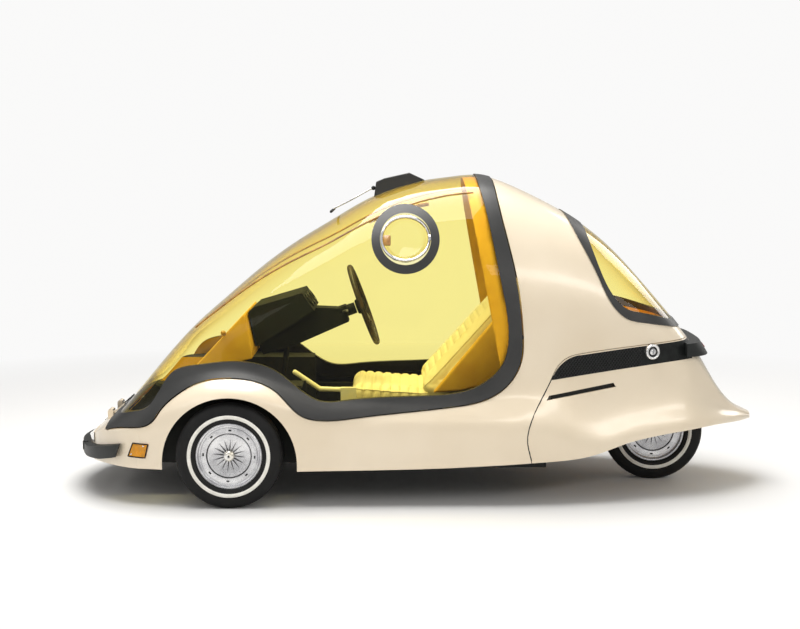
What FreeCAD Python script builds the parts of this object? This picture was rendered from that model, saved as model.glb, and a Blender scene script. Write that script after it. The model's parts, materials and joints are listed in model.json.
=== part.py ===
import FreeCAD, Part
import math
import os

from FreeCAD import Vector

# Three-wheeled bubble microcar with a forward-tilting glass canopy. The nose
# points to -X, the driver's left is -Y and the floor is at Z = 0. The origin
# is on the floor under the middle of the car. All lengths are in millimetres.

# Driving dimensions of the whole car
overall_length = 3090.0
roof_height = 1420.0
half_width = 680.0
wheelbase = 1906.0
front_axle_x = -806.0
half_track = 600.0
tyre_diameter = 456.0
tyre_width = 115.0

# Walls, gaps and clearances
panel_wall = 15.0
glass_wall = 6.0
frame_wall = 26.0
frame_proud = 5.2
shut_gap = 6.0
seat_gap = 0.3
cut_overrun = 60.0

# Outline of the body seen from the side: shares of the overall length, and of
# the roof height
top_line_shares = [
    (-0.511, 0.123), (-0.500, 0.141), (-0.485, 0.161), (-0.471, 0.183), (-0.456, 0.213),
    (-0.438, 0.243), (-0.385, 0.373), (-0.342, 0.485), (-0.271, 0.625), (-0.218, 0.722),
    (-0.167, 0.799), (-0.129, 0.849), (-0.096, 0.893), (-0.062, 0.932), (-0.031, 0.958),
    (0.008, 0.980), (0.047, 0.992), (0.085, 0.999), (0.110, 0.989), (0.158, 0.947),
    (0.188, 0.914), (0.219, 0.877), (0.271, 0.796), (0.303, 0.727), (0.336, 0.646),
    (0.359, 0.587), (0.379, 0.537), (0.399, 0.475), (0.413, 0.433), (0.426, 0.387),
    (0.443, 0.327), (0.460, 0.282), (0.471, 0.259), (0.485, 0.238), (0.500, 0.223)]
waist_height_shares = [
    (-0.511, 0.106), (-0.456, 0.185), (-0.388, 0.296), (-0.324, 0.394), (-0.265, 0.423),
    (-0.194, 0.394), (-0.129, 0.345), (0.000, 0.335), (0.129, 0.345), (0.259, 0.394),
    (0.324, 0.423), (0.388, 0.405), (0.421, 0.345), (0.453, 0.264), (0.500, 0.215)]
hip_height_shares = [
    (-0.511, 0.095), (-0.456, 0.151), (-0.421, 0.185), (-0.324, 0.296), (-0.259, 0.325),
    (-0.194, 0.296), (-0.129, 0.254), (0.000, 0.239), (0.129, 0.232), (0.194, 0.218),
    (0.256, 0.187), (0.282, 0.200), (0.320, 0.217), (0.382, 0.231), (0.437, 0.235),
    (0.469, 0.229), (0.500, 0.213)]
sill_height_shares = [
    (-0.511, 0.085), (-0.437, 0.111), (-0.356, 0.115), (-0.162, 0.113), (0.000, 0.118),
    (0.159, 0.134), (0.207, 0.139), (0.233, 0.147), (0.257, 0.156), (0.282, 0.174),
    (0.320, 0.192), (0.382, 0.208), (0.437, 0.214), (0.500, 0.205)]

# Half widths along the car: shares of the overall length, and of the half width
waist_width_shares = [
    (-0.511, 0.588), (-0.453, 0.647), (-0.421, 0.706), (-0.388, 0.753), (-0.356, 0.782),
    (-0.259, 0.809), (-0.129, 0.824), (0.000, 0.826), (0.097, 0.826), (0.162, 0.809),
    (0.227, 0.743), (0.291, 0.654), (0.356, 0.551), (0.388, 0.488), (0.421, 0.394),
    (0.453, 0.279), (0.485, 0.140), (0.500, 0.059)]
hip_width_shares = [
    (-0.511, 0.662), (-0.421, 0.824), (-0.356, 0.915), (-0.307, 0.971), (-0.259, 0.994),
    (-0.210, 0.979), (-0.129, 0.944), (0.000, 0.935), (0.129, 0.926), (0.194, 0.885),
    (0.256, 0.824), (0.282, 0.782), (0.320, 0.721), (0.382, 0.618), (0.437, 0.444),
    (0.468, 0.297), (0.492, 0.141), (0.500, 0.074)]

# Stations along the car at which the body's cross-section is drawn
station_shares = [
    -0.511, -0.485, -0.456, -0.430, -0.400, -0.365, -0.325, -0.285, -0.245, -0.205,
    -0.165, -0.125, -0.080, -0.035, 0.010, 0.050, 0.090, 0.130, 0.170, 0.210, 0.250,
    0.290, 0.325, 0.360, 0.390, 0.415, 0.437, 0.456, 0.472, 0.486, 0.500]

# How the side runs from hip to waist: shares of the rise, then of the way in,
# over the front wheels and along the skirt of the tail
fender_bulge_shares = [(0.36, 0.20), (0.70, 0.60)]
skirt_sweep_shares = [(0.24, 0.56), (0.60, 0.90)]
skirt_start_share = 0.150
skirt_full_share = 0.280
cabin_roundness = 3.1
arch_steps = 6
sill_tuck_share = 0.985
hollow_ratio = 6.0
shoulder_share = 0.5
steepest_wall = 2.0
slope_step_share = 0.004

# Nose seen from above: shares of the overall length, and of the half width
nose_plan_shares = [
    (-0.4887, 0.000), (-0.4835, 0.200), (-0.4700, 0.420), (-0.4550, 0.560), (-0.4320, 0.700),
    (-0.4070, 0.810), (-0.3700, 0.905), (-0.3300, 0.990), (-0.2900, 1.050)]

# Shut line of the canopy and edge of its glass, seen from the side
shut_line_shares = [
    (0.105, 1.056), (0.108, 0.979), (0.118, 0.860), (0.137, 0.680), (0.145, 0.525),
    (0.143, 0.440), (0.130, 0.382), (0.113, 0.347), (0.086, 0.320), (0.056, 0.308),
    (-0.004, 0.294), (-0.082, 0.277), (-0.142, 0.271), (-0.157, 0.280), (-0.175, 0.311),
    (-0.194, 0.352), (-0.224, 0.384), (-0.265, 0.394), (-0.306, 0.378), (-0.334, 0.343),
    (-0.358, 0.293), (-0.367, 0.265), (-0.378, 0.248), (-0.392, 0.241), (-0.410, 0.236),
    (-0.426, 0.229), (-0.4405, 0.218)]
glass_line_shares = [
    (0.085, 1.056), (0.086, 0.986), (0.092, 0.930), (0.105, 0.796), (0.119, 0.642),
    (0.126, 0.504), (0.118, 0.430), (0.100, 0.386), (0.070, 0.352), (0.026, 0.337),
    (-0.096, 0.323), (-0.138, 0.323), (-0.153, 0.339), (-0.173, 0.371), (-0.198, 0.411),
    (-0.224, 0.432), (-0.264, 0.438), (-0.306, 0.427), (-0.344, 0.401), (-0.356, 0.366),
    (-0.365, 0.333), (-0.375, 0.303), (-0.386, 0.288), (-0.400, 0.280), (-0.418, 0.270),
    (-0.4315, 0.262)]
nose_edge_share = 0.001
outline_back_share = 0.560

# Rear window and its frame, tail panel and side vents, seen from the side
window_line_shares = [
    (0.238, 0.940), (0.239, 0.859), (0.254, 0.732), (0.288, 0.601), (0.297, 0.587),
    (0.316, 0.575), (0.359, 0.551), (0.430, 0.520)]
window_frame_line_shares = [
    (0.207, 0.960), (0.212, 0.894), (0.231, 0.793), (0.253, 0.696), (0.282, 0.582),
    (0.298, 0.556), (0.320, 0.544), (0.361, 0.529), (0.430, 0.495)]
tail_line_shares = [
    (0.159, 0.060), (0.159, 0.130), (0.152, 0.198), (0.176, 0.339), (0.185, 0.376),
    (0.197, 0.424), (0.210, 0.446), (0.229, 0.456), (0.303, 0.472), (0.380, 0.485),
    (0.440, 0.495)]
vent_tip_shares = [(0.187, 0.380), (0.198, 0.422), (0.211, 0.443), (0.230, 0.453)]
vent_top_shares = [(0.230, 0.453), (0.303, 0.469), (0.395, 0.484)]
vent_end_shares = [(0.395, 0.484), (0.396, 0.426)]
vent_bottom_shares = [(0.396, 0.426), (0.302, 0.408), (0.187, 0.380)]
slot_shares = [(0.179, 0.320), (0.183, 0.334), (0.276, 0.364), (0.280, 0.351)]

# Small outlines seen from the side: shares of the overall length and roof height
bumper_shares = [
    (-0.510, 0.112), (-0.479, 0.114), (-0.453, 0.123), (-0.424, 0.142),
    (-0.417, 0.184), (-0.453, 0.163), (-0.479, 0.147), (-0.510, 0.142)]
indicator_shares = [(-0.4055, 0.148), (-0.3975, 0.192), (-0.3735, 0.192), (-0.3785, 0.148)]
rear_bar_shares = [(0.385, 0.434), (0.385, 0.475), (0.440, 0.475), (0.440, 0.434)]
pod_shares = [(-0.0630, 0.925), (-0.0600, 0.971), (-0.0480, 0.982), (-0.0107, 1.000), (0.0110, 0.978)]
binnacle_shares = [(-0.2470, 0.560), (-0.2380, 0.577), (-0.1680, 0.622), (-0.1500, 0.566), (-0.2360, 0.450)]
column_shroud_shares = [
    (-0.1500, 0.566), (-0.1080, 0.562), (-0.1010, 0.520), (-0.1750, 0.449), (-0.2290, 0.412),
    (-0.2360, 0.450)]
headlamp_front_share = -0.487
headlamp_back_share = -0.4675
headlamp_inner_share = 0.26
headlamp_outer_share = 0.54
headlamp_low_share = 0.160

# Depths of what is set into the body or stands on it
trim_proud = 4.0
trim_depth = 6.0
bumper_thickness = 35.0
rear_bar_proud = 40.0
tail_gap = 3.0

# Porthole in the left side of the canopy glass
porthole_x = -53.0
porthole_z = 1144.0
porthole_radius = 147.0
porthole_bore = 110.0
porthole_ring_proud = 12.0
porthole_bezel = 9.0

# Wheels and tyres
axle_height = tyre_diameter / 2
rim_radius = 142.0
rim_lip = 8.0
rim_width = 96.0
rim_wall = 7.0
dish_depth = 34.0
dish_wall = 8.0
hub_radius = 34.0
hub_proud = 14.0
hub_bore_radius = 14.0
spoke_count = 12
spoke_radius = 5.0
tyre_shoulder = 16.0
tyre_wall_bulge = 7.0
arch_radius = 290.0
arch_centre_z = 190.0
arch_depth = 160.0

# Front suspension and steering
kingpin_y = 520.0
kingpin_radius = 11.0
knuckle_height = 150.0
knuckle_width = 46.0
knuckle_depth = 50.0
kingpin_clearance = 0.08
spindle_radius = hub_bore_radius - kingpin_clearance
arm_spread = 100.0
arm_radius = 10.0
fork_height = 26.0
tower_thickness = 15.0
tower_top_z = 330.0
steer_arm_length = 110.0
steer_arm_radius = 9.0
ball_radius = 12.5
moving_gap = 5.5
rack_z = 112.0
rack_radius = 8.0
rack_wall = 6.0
rack_clearance = 0.08
rack_half = 190.0

# Floor tub
floor_z = 150.0
tub_wall = 10.0
foot_half = 395.0
foot_front_x = -1330.0
foot_back_x = -500.0
foot_top_z = 515.0
cabin_half = 500.0
cabin_back_x = 560.0
cabin_top_z = 372.0
ledge_z = 350.0
shelf_z = 690.0
shelf_thickness = 12.0
shelf_end_x = 1120.0

# Seat
seat_half = 250.0
cushion_front_x = -318.0
cushion_back_x = 40.0
cushion_thickness = 120.0
cushion_top_z = 480.0
back_length = 640.0
back_thickness = 160.0
back_angle = 50.0
back_gap = 24.0
back_sink = 30.0
back_board = 12.0
seat_corner = 38.0

# Steering wheel and column
steering_radius = 184.0
steering_rim_radius = 13.0
steering_hub_x = -246.0
steering_hub_z = 812.0
steering_hub_radius = 38.0
steering_hub_depth = 34.0
steering_spoke_radius = 9.0
column_angle = 20.0
column_length = 330.0
column_radius = 26.0
shaft_radius = 11.0
shaft_clearance = 0.08
shaft_length = 45.0
binnacle_half = 190.0
shroud_half = 55.0

# Rear wheel, swing arm and engine
swing_pivot_x = 825.0
swing_pivot_z = 260.0
swing_half = 104.0
swing_radius = 18.0
swing_tube_radius = 16.0
swing_gap = 14.0
rail_half = 26.0
rail_z = 200.0
shock_radius = 20.0
shock_foot_share = 0.55
shock_top_x = 880.0
engine_front_x = 578.0
engine_length = 190.0
engine_half = 150.0
engine_low_z = 175.0
engine_height = 300.0
fuel_x = 1031.0
fuel_z = 646.0
fuel_radius = 34.0
fuel_proud = 9.0

# Canopy hinge
hinge_x = -1400.0
hinge_z = 336.0
hinge_pin_radius = 7.0
hinge_half = 120.0
hinge_knuckle = 30.0
hinge_radius = 12.0
hinge_leaf = 6.0
hinge_drop = 60.0
hinge_reach = 62.0

# Roof housing and wiper
pod_half = 85.0
wiper_root_shares = (-0.0626, 0.952)
wiper_tip_shares = (-0.1250, 0.880)
wiper_radius = 6.0
blade_half = 190.0
blade_radius = 7.0

# Pedals and hand brake
pedal_x = -930.0
pedal_y = 75.0
pedal_half = 32.0
pedal_height = 190.0
pedal_thickness = 8.0
pedal_rod_radius = 7.0
lever_y = -300.0
lever_shares = [(-0.1764, 0.380), (-0.1404, 0.327), (-0.0990, 0.324)]
lever_radius = 11.0
lever_block_half = 19.0
lever_block_length = 70.0


def along(share):
    """Place along the car from a share of its overall length."""
    return share * overall_length


def up(share):
    """Height from a share of the roof height."""
    return share * roof_height


def across(share):
    """Place across the car from a share of its half width."""
    return share * half_width


def smooth_line(shares, at):
    """Height of a smooth line through (place, value) shares, which never overshoots."""
    count = len(shares)
    xs = [point[0] for point in shares]
    ys = [point[1] for point in shares]
    if at <= xs[0]:
        return ys[0]
    if at >= xs[-1]:
        return ys[-1]
    slopes = [(ys[i + 1] - ys[i]) / (xs[i + 1] - xs[i]) for i in range(count - 1)]
    tangents = [slopes[0]]
    for i in range(1, count - 1):
        before = slopes[i - 1]
        after = slopes[i]
        if before * after <= 0:
            tangents.append(0.0)
        else:
            tangents.append(2 * before * after / (before + after))
    tangents.append(slopes[-1])
    i = max(k for k in range(count - 1) if xs[k] <= at)
    span = xs[i + 1] - xs[i]
    t = (at - xs[i]) / span
    rise = (1 + 2 * t) * (1 - t) ** 2 * ys[i] + t * t * (3 - 2 * t) * ys[i + 1]
    return rise + t * (1 - t) ** 2 * span * tangents[i] - t * t * (1 - t) * span * tangents[i + 1]


def section_height(share):
    """Height of the body's side-view outline at a station."""
    return up(smooth_line(top_line_shares, share) - smooth_line(sill_height_shares, share))


def top_steepness(share):
    """How much deeper than its wall the body is measured straight down, at a station."""
    step = slope_step_share
    rise = up(smooth_line(top_line_shares, share + step) - smooth_line(top_line_shares, share - step))
    return min(steepest_wall, math.hypot(rise, 2 * along(step)) / (2 * along(step)))


def half_section(share, depth):
    """Half cross-section at a station as (y, z) points, moved inwards by a depth."""
    top = up(smooth_line(top_line_shares, share)) - depth * top_steepness(share)
    waist_z = up(smooth_line(waist_height_shares, share)) - depth * shoulder_share
    hip_z = up(smooth_line(hip_height_shares, share)) - depth * shoulder_share
    sill_z = up(smooth_line(sill_height_shares, share))
    waist_y = across(smooth_line(waist_width_shares, share)) - depth
    hip_y = across(smooth_line(hip_width_shares, share)) - depth
    blend = min(1.0, max(0.0, (share - skirt_start_share) / (skirt_full_share - skirt_start_share)))
    blend = blend * blend * (3 - 2 * blend)
    points = [(hip_y * sill_tuck_share, sill_z), (hip_y, hip_z)]
    for fender, skirt in zip(fender_bulge_shares, skirt_sweep_shares):
        rise = fender[0] + (skirt[0] - fender[0]) * blend
        way_in = fender[1] + (skirt[1] - fender[1]) * blend
        points.append((hip_y + (waist_y - hip_y) * way_in, hip_z + (waist_z - hip_z) * rise))
    points.append((waist_y, waist_z))
    for step in range(1, arch_steps + 1):
        angle = math.pi / 2 * step / arch_steps
        y = waist_y * max(0.0, math.cos(angle)) ** (2 / cabin_roundness)
        z = waist_z + (top - waist_z) * math.sin(angle) ** (2 / cabin_roundness)
        points.append((0.0 if step == arch_steps else y, z))
    return points


def drawn_curve(poles):
    """Smooth curve drawn towards its poles, which starts and ends on the outer two."""
    degree = 3
    inner = len(poles) - degree
    knots = [float(k) for k in range(inner + 1)]
    mults = [degree + 1] + [1] * (inner - 1) + [degree + 1]
    curve = Part.BSplineCurve()
    curve.buildFromPolesMultsKnots(poles, mults, knots, False, degree)
    return curve.toShape()


def section_wire(share, depth, drop):
    """Closed cross-section wire, its bottom dropped below the sill to open the shell."""
    half = half_section(share, depth)
    x = along(share)
    low = (half[0][0], half[0][1] - drop)
    left = [Vector(x, -y, z) for y, z in half]
    right = [Vector(x, y, z) for y, z in reversed(half[:-1])]
    edges = [drawn_curve(left + right)]
    if drop > 0:
        foot_right = Vector(x, low[0], low[1])
        foot_left = Vector(x, -low[0], low[1])
        edges.append(Part.makeLine(right[-1], foot_right))
        edges.append(Part.makeLine(foot_right, foot_left))
        edges.append(Part.makeLine(foot_left, left[0]))
    else:
        edges.append(Part.makeLine(right[-1], left[0]))
    return Part.Wire(edges)


def nose_block(depth):
    """Block that rounds the nose off in plan, moved inwards by a depth."""
    points = [Vector(along(x) + depth, across(y), 0) for x, y in nose_plan_shares]
    mirrored = [Vector(p.x, -p.y, 0) for p in reversed(points[1:])]
    curve = Part.BSplineCurve()
    curve.interpolate(mirrored + points)
    back = overall_length
    wide = points[-1].y
    corner_a = Vector(back, wide, 0)
    corner_b = Vector(back, -wide, 0)
    edges = [curve.toShape(), Part.makeLine(points[-1], corner_a)]
    edges.append(Part.makeLine(corner_a, corner_b))
    edges.append(Part.makeLine(corner_b, mirrored[0]))
    face = Part.Face(Part.Wire(edges))
    return face.extrude(Vector(0, 0, 2 * roof_height))


def body_form(depth, drop=0.0):
    """Solid bounded by the body's outer surface moved inwards by a depth."""
    stations = [share for share in station_shares if section_height(share) > hollow_ratio * depth]
    wires = [section_wire(share, depth, drop) for share in stations]
    loft = Part.makeLoft(wires, True, False)
    block = nose_block(depth)
    block.translate(Vector(0, 0, -cut_overrun))
    return loft.common(block)


def line_points(shares):
    """Points of a side-view line from its shares."""
    return [Vector(along(x), 0, up(z)) for x, z in shares]


def spline_edge(shares):
    """Smooth edge through a side-view line."""
    curve = Part.BSplineCurve()
    curve.interpolate(line_points(shares))
    return curve.toShape()


def straight_edges(points):
    """Straight edges from one point to the next."""
    return [Part.makeLine(a, b) for a, b in zip(points, points[1:])]


def side_block(edges, half_span=2 * half_width):
    """Block right across the car over a closed side-view outline."""
    face = Part.Face(Part.Wire(edges))
    block = face.extrude(Vector(0, 2 * half_span, 0))
    block.translate(Vector(0, -half_span, 0))
    return block


def shifted_points(shares, shift):
    """Points of a side-view line, each moved to the line's left by a distance."""
    points = line_points(shares)
    curve = Part.BSplineCurve()
    curve.interpolate(points)
    moved = []
    for point in points:
        way = curve.tangent(curve.parameter(point))[0]
        moved.append(point.add(Vector(-way.z, 0, way.x).multiply(shift)))
    return moved


def outline_above(shares, growth, end_x):
    """Closed outline over a side-view line, its line moved out by a growth."""
    points = shifted_points(shares, growth)
    curve = Part.BSplineCurve()
    curve.interpolate(points)
    first = points[0]
    corner = Vector(end_x, 0, points[-1].z)
    above = Vector(end_x, 0, first.z)
    return [curve.toShape()] + straight_edges([points[-1], corner, above, first])


def canopy_outline(shares, growth=0.0):
    """Closed outline over the canopy, from its shut line or its glass edge."""
    return outline_above(shares, growth, along(shares[-1][0] - nose_edge_share) - growth)


def tail_outline(shares, growth=0.0):
    """Closed outline over the tail behind a line that starts on the roof."""
    return outline_above(shares, growth, along(outline_back_share))


def box(low, high):
    """Box between two corners."""
    size = [b - a for a, b in zip(low, high)]
    return Part.makeBox(size[0], size[1], size[2], Vector(low[0], low[1], low[2]))


def rod(start, end, radius):
    """Round bar between two points."""
    direction = end.sub(start)
    return Part.makeCylinder(radius, direction.Length, start, direction)


def mirrored(shape):
    """The same piece on the other side of the car."""
    return shape.mirror(Vector(0, 0, 0), Vector(0, 1, 0))


def fused(shapes):
    """Several solids joined to one."""
    return shapes[0].fuse(shapes[1:]).removeSplitter()


def closed_edges(shares):
    """Straight closed outline through side-view shares."""
    points = line_points(shares)
    return straight_edges(points + [points[0]])


def ball_ended(start, end, radius):
    """Round bar with round ends."""
    return fused([rod(start, end, radius), Part.makeSphere(radius, start), Part.makeSphere(radius, end)])


def skin(outside, inside):
    """Wall between two depths under the body's outer surface."""
    return body_form(outside).cut(body_form(inside, cut_overrun))


def cross_bore(x, z, radius, low_y, high_y):
    """Round bar across the car, as a cutter or a ring."""
    return Part.makeCylinder(radius, high_y - low_y, Vector(x, low_y, z), Vector(0, 1, 0))


def arch_cutter():
    """Opening over both front wheels, straight-sided below its centre."""
    start = half_width - arch_depth
    end = half_width + cut_overrun
    round_top = cross_bore(front_axle_x, arch_centre_z, arch_radius, start, end)
    legs = box((front_axle_x - arch_radius, start, 0), (front_axle_x + arch_radius, end, arch_centre_z))
    one = round_top.fuse(legs)
    return one.fuse(mirrored(one))


def vent_edges():
    """Closed outline of the side vent."""
    return ([spline_edge(vent_tip_shares), spline_edge(vent_top_shares)]
            + straight_edges(line_points(vent_end_shares)) + [spline_edge(vent_bottom_shares)])


def make_panels():
    """Body panels, glass and the trim set into them."""
    parts = {}
    wall = skin(0.0, panel_wall)
    canopy_cut = side_block(canopy_outline(shut_line_shares, shut_gap))
    canopy_all = side_block(canopy_outline(shut_line_shares))
    glass_block = side_block(canopy_outline(glass_line_shares))
    tail_block = side_block(tail_outline(tail_line_shares))
    tail_cut = side_block(tail_outline(tail_line_shares, tail_gap))
    window_block = side_block(tail_outline(window_line_shares))
    frame_block = side_block(tail_outline(window_frame_line_shares))
    vent_block = side_block(vent_edges())
    indicator_block = side_block(closed_edges(indicator_shares))

    body = wall.cut(canopy_cut).cut(tail_cut).cut(frame_block).cut(arch_cutter())
    lamp_block = make_headlamp_block()
    body = body.cut(indicator_block).cut(lamp_block)
    parts["body_shell"] = body
    tail = wall.common(tail_block).cut(frame_block).cut(vent_block)
    parts["engine_cover"] = tail.cut(side_block(closed_edges(slot_shares)))

    trim = skin(-trim_proud, trim_depth)
    vents = skin(0.0, trim_depth).common(side_block(vent_edges()))
    parts["side_vents"] = vents
    parts["front_indicators"] = trim.common(indicator_block)
    parts["headlamps"] = trim.common(lamp_block)

    glass_skin = skin(0.0, glass_wall)
    frame_skin = skin(-frame_proud, frame_wall - frame_proud)
    porthole = cross_bore(porthole_x, porthole_z, porthole_bore, -half_width, 0)
    glass = glass_skin.common(glass_block)
    parts["canopy_glass"] = glass.cut(porthole)
    parts["canopy_frame"] = frame_skin.common(canopy_all).cut(glass_block)
    parts["rear_window"] = glass_skin.common(window_block)
    parts["rear_window_frame"] = skin(-trim_proud, panel_wall).common(frame_block).cut(window_block)
    ring = skin(-porthole_ring_proud, -seat_gap)
    disc = cross_bore(porthole_x, porthole_z, porthole_radius, -half_width, 0)
    parts["porthole_ring"] = ring.common(disc).cut(porthole)
    lid = cross_bore(porthole_x, porthole_z, porthole_bore - seat_gap, -half_width, 0)
    parts["porthole_lid"] = skin(-porthole_bezel, glass_wall).common(lid)
    return parts


def make_headlamp_block():
    """Space of both headlamps in the nose."""
    low = (along(headlamp_front_share), across(headlamp_inner_share), up(headlamp_low_share))
    high = (along(headlamp_back_share), across(headlamp_outer_share), roof_height)
    one = box(low, high)
    return one.fuse(mirrored(one))


def revolved(points, centre):
    """Solid of revolution about the direction across the car, from (y, radius) points."""
    outline = [Vector(centre.x, centre.y + y, centre.z + r) for y, r in points]
    face = Part.Face(Part.makePolygon(outline + [outline[0]]))
    return face.revolve(centre, Vector(0, 1, 0), 360)


def wheel_centre(side):
    """Centre of a front wheel on one side, or of the rear wheel for side 0."""
    if side == 0:
        return Vector(front_axle_x + wheelbase, 0, axle_height)
    return Vector(front_axle_x, side * half_track, axle_height)


def make_tyre(centre):
    """Tyre with rounded shoulders, open where the rim sits."""
    half = tyre_width / 2
    radius = tyre_diameter / 2
    bead = rim_radius + seat_gap
    bead_half = rim_width / 2
    side = (radius + bead) / 2
    rising = [(bead_half, bead), (half - tyre_wall_bulge, bead + tyre_wall_bulge), (half, side),
              (half - tyre_wall_bulge, radius - tyre_shoulder),
              (half - tyre_shoulder, radius - tyre_wall_bulge), (half - 2 * tyre_shoulder, radius)]
    other = [(-y, r) for y, r in reversed(rising)]
    return revolved(rising + other, centre)


def make_rim(centre, outside, through=False):
    """Dished wheel with radial ribs and a hub that is bored for its spindle or axle."""
    half = rim_width / 2
    face = half - rim_lip
    deep = face - dish_depth
    barrel = [(-half, rim_radius), (half, rim_radius), (half, rim_radius - rim_wall),
              (-half, rim_radius - rim_wall)]
    dish = [(face, rim_radius - rim_wall / 2), (deep, hub_radius / 2), (deep - dish_wall, hub_radius / 2),
            (face - dish_wall, rim_radius - rim_wall / 2)]
    solids = [revolved([(outside * y, r) for y, r in barrel], centre)]
    solids.append(revolved([(outside * y, r) for y, r in dish], centre))
    hub_face = Vector(centre.x, centre.y + outside * (deep + hub_proud), centre.z)
    hub_back = Vector(centre.x, centre.y - outside * half, centre.z)
    solids.append(rod(hub_back, hub_face, hub_radius))
    for index in range(spoke_count):
        inner = Vector(centre.x, centre.y + outside * deep, centre.z + hub_radius / 2)
        outer = Vector(centre.x, centre.y + outside * face, centre.z + rim_radius - rim_wall / 2)
        spoke = rod(inner, outer, spoke_radius)
        spoke.rotate(centre, Vector(0, 1, 0), 360 * index / spoke_count)
        solids.append(spoke)
    wheel = fused(solids)
    depth = half + cut_overrun if through else deep - dish_wall
    bore_end = Vector(centre.x, centre.y + outside * depth, centre.z)
    bore_start = Vector(centre.x, centre.y - outside * (half + cut_overrun), centre.z)
    return wheel.cut(rod(bore_start, bore_end, hub_bore_radius))


def spindle_reach():
    """How far the spindle reaches past the wheel's centre plane, inside the hub's bore."""
    return rim_width / 2 - rim_lip - dish_depth - dish_wall - seat_gap


def make_knuckle(side):
    """Upright that turns about the kingpin, with its spindle and steering arm."""
    x = front_axle_x
    y = side * kingpin_y
    half = knuckle_width / 2
    post_half = knuckle_height / 2 - fork_height / 2 - seat_gap
    post = box((x - knuckle_depth / 2, y - half, axle_height - post_half),
               (x + knuckle_depth / 2, y + half, axle_height + post_half))
    pin_half = knuckle_height / 2 + fork_height
    pin = rod(Vector(x, y, axle_height - pin_half), Vector(x, y, axle_height + pin_half), kingpin_radius)
    spindle_tip = side * (half_track + spindle_reach())
    spindle = rod(Vector(x, y, axle_height), Vector(x, spindle_tip, axle_height), spindle_radius)
    arm_y = y - side * half
    elbow = Vector(x + knuckle_depth / 2, arm_y + side * steer_arm_radius, axle_height - post_half / 2)
    end = Vector(x + steer_arm_length, arm_y, rack_z)
    arm = rod(elbow, end, steer_arm_radius)
    ball = Part.makeSphere(ball_radius, end)
    return fused([post, pin, spindle, arm, ball])


def make_arms(side):
    """Upper and lower wishbones that hold the kingpin in two bored eyes."""
    x = front_axle_x
    y = side * kingpin_y
    eye_radius = 2 * kingpin_radius
    root_y = side * (foot_half + tower_thickness + 2 * seat_gap)
    outside = sorted([root_y, side * half_width])
    clear = box((x - half_width, outside[0], 0), (x + half_width, outside[1], roof_height))
    pieces = []
    for level in (-1, 1):
        z = axle_height + level * knuckle_height / 2
        foot = Vector(x, y, z - fork_height / 2)
        arms = [Part.makeCylinder(eye_radius, fork_height, foot)]
        for root_x in (x - arm_spread, x):
            root = Vector(root_x, root_y - side * arm_radius, z)
            arms.append(rod(Vector(x, y - side * eye_radius / 2, z), root, arm_radius))
        bore = Part.makeCylinder(kingpin_radius + kingpin_clearance, fork_height, foot)
        pieces.append(fused(arms).cut(bore).common(clear))
    return Part.makeCompound(pieces)


def make_front_subframe():
    """Cradle under the footwell with a tower on each side that carries the wishbones."""
    x = front_axle_x
    inner = foot_half + seat_gap
    outer = inner + tower_thickness
    low = floor_z - tower_thickness
    front = x - arm_spread - 2 * arm_radius
    back = x + 2 * arm_radius
    solids = [box((front, -outer, low), (back, outer, floor_z - seat_gap))]
    for side in (-1, 1):
        y = sorted([side * inner, side * outer])
        solids.append(box((front, y[0], low), (back, y[1], tower_top_z)))
    return fused(solids)


def make_track_rod():
    """Steering rack and track rods in one bar that slides across the car."""
    x = track_rod_x()
    reach = kingpin_y - knuckle_width / 2 + ball_radius
    return rod(Vector(x, -reach, rack_z), Vector(x, reach, rack_z), rack_radius)


def track_rod_x():
    """Place of the track rod, clear behind the steering arms' balls."""
    return front_axle_x + steer_arm_length + ball_radius + rack_radius + moving_gap


def make_rack_housing():
    """Tube that guides the track rod, hung under the floor."""
    x = track_rod_x()
    tube = rod(Vector(x, -rack_half, rack_z), Vector(x, rack_half, rack_z), rack_radius + rack_wall)
    solids = [tube]
    for side in (-1, 1):
        y = side * (rack_half - rack_wall)
        foot = (x - rack_radius - rack_wall, y - rack_wall, rack_z)
        top = (x + rack_radius + rack_wall, y + rack_wall, floor_z - seat_gap)
        solids.append(box(foot, top))
    bore = rod(Vector(x, -rack_half - cut_overrun, rack_z), Vector(x, rack_half + cut_overrun, rack_z),
               rack_radius + rack_clearance)
    return fused(solids).cut(bore)


def make_tub():
    """Open-topped floor tub: footwell between the front wheels, cabin floor and rear wall."""
    foot = box((foot_front_x, -foot_half, floor_z), (foot_back_x + tub_wall, foot_half, foot_top_z))
    foot_void = box((foot_front_x + tub_wall, -foot_half + tub_wall, floor_z + tub_wall),
                    (foot_back_x + 2 * tub_wall, foot_half - tub_wall, roof_height))
    cabin = box((foot_back_x, -cabin_half, floor_z), (cabin_back_x, cabin_half, cabin_top_z))
    cabin_void = box((foot_back_x + tub_wall, -cabin_half + tub_wall, floor_z + tub_wall),
                     (cabin_back_x - tub_wall, cabin_half - tub_wall, roof_height))
    bulkhead = box((cabin_back_x - tub_wall, -cabin_half, floor_z), (cabin_back_x, cabin_half, shelf_z))
    ledge = box((foot_back_x, -half_width, ledge_z), (cabin_back_x, half_width, ledge_z + tub_wall))
    house = box((foot_front_x, -half_width, foot_top_z - tub_wall), (foot_back_x, half_width, foot_top_z))
    under_canopy = body_form(frame_wall + moving_gap, cut_overrun)
    under_body = body_form(panel_wall + seat_gap, cut_overrun)
    canopy_room = side_block(canopy_outline(shut_line_shares, shut_gap))
    solid = foot.fuse([cabin, bulkhead, ledge, house]).common(under_canopy)
    rims = ledge.fuse(house).common(under_body).cut(canopy_room)
    return solid.fuse(rims).cut(foot_void).cut(cabin_void)


def rounded_box(length, width, height, corner):
    """Box with all edges rounded, its lower front left corner at the origin."""
    solid = Part.makeBox(length, width, height)
    return solid.makeFillet(corner, solid.Edges)


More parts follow.
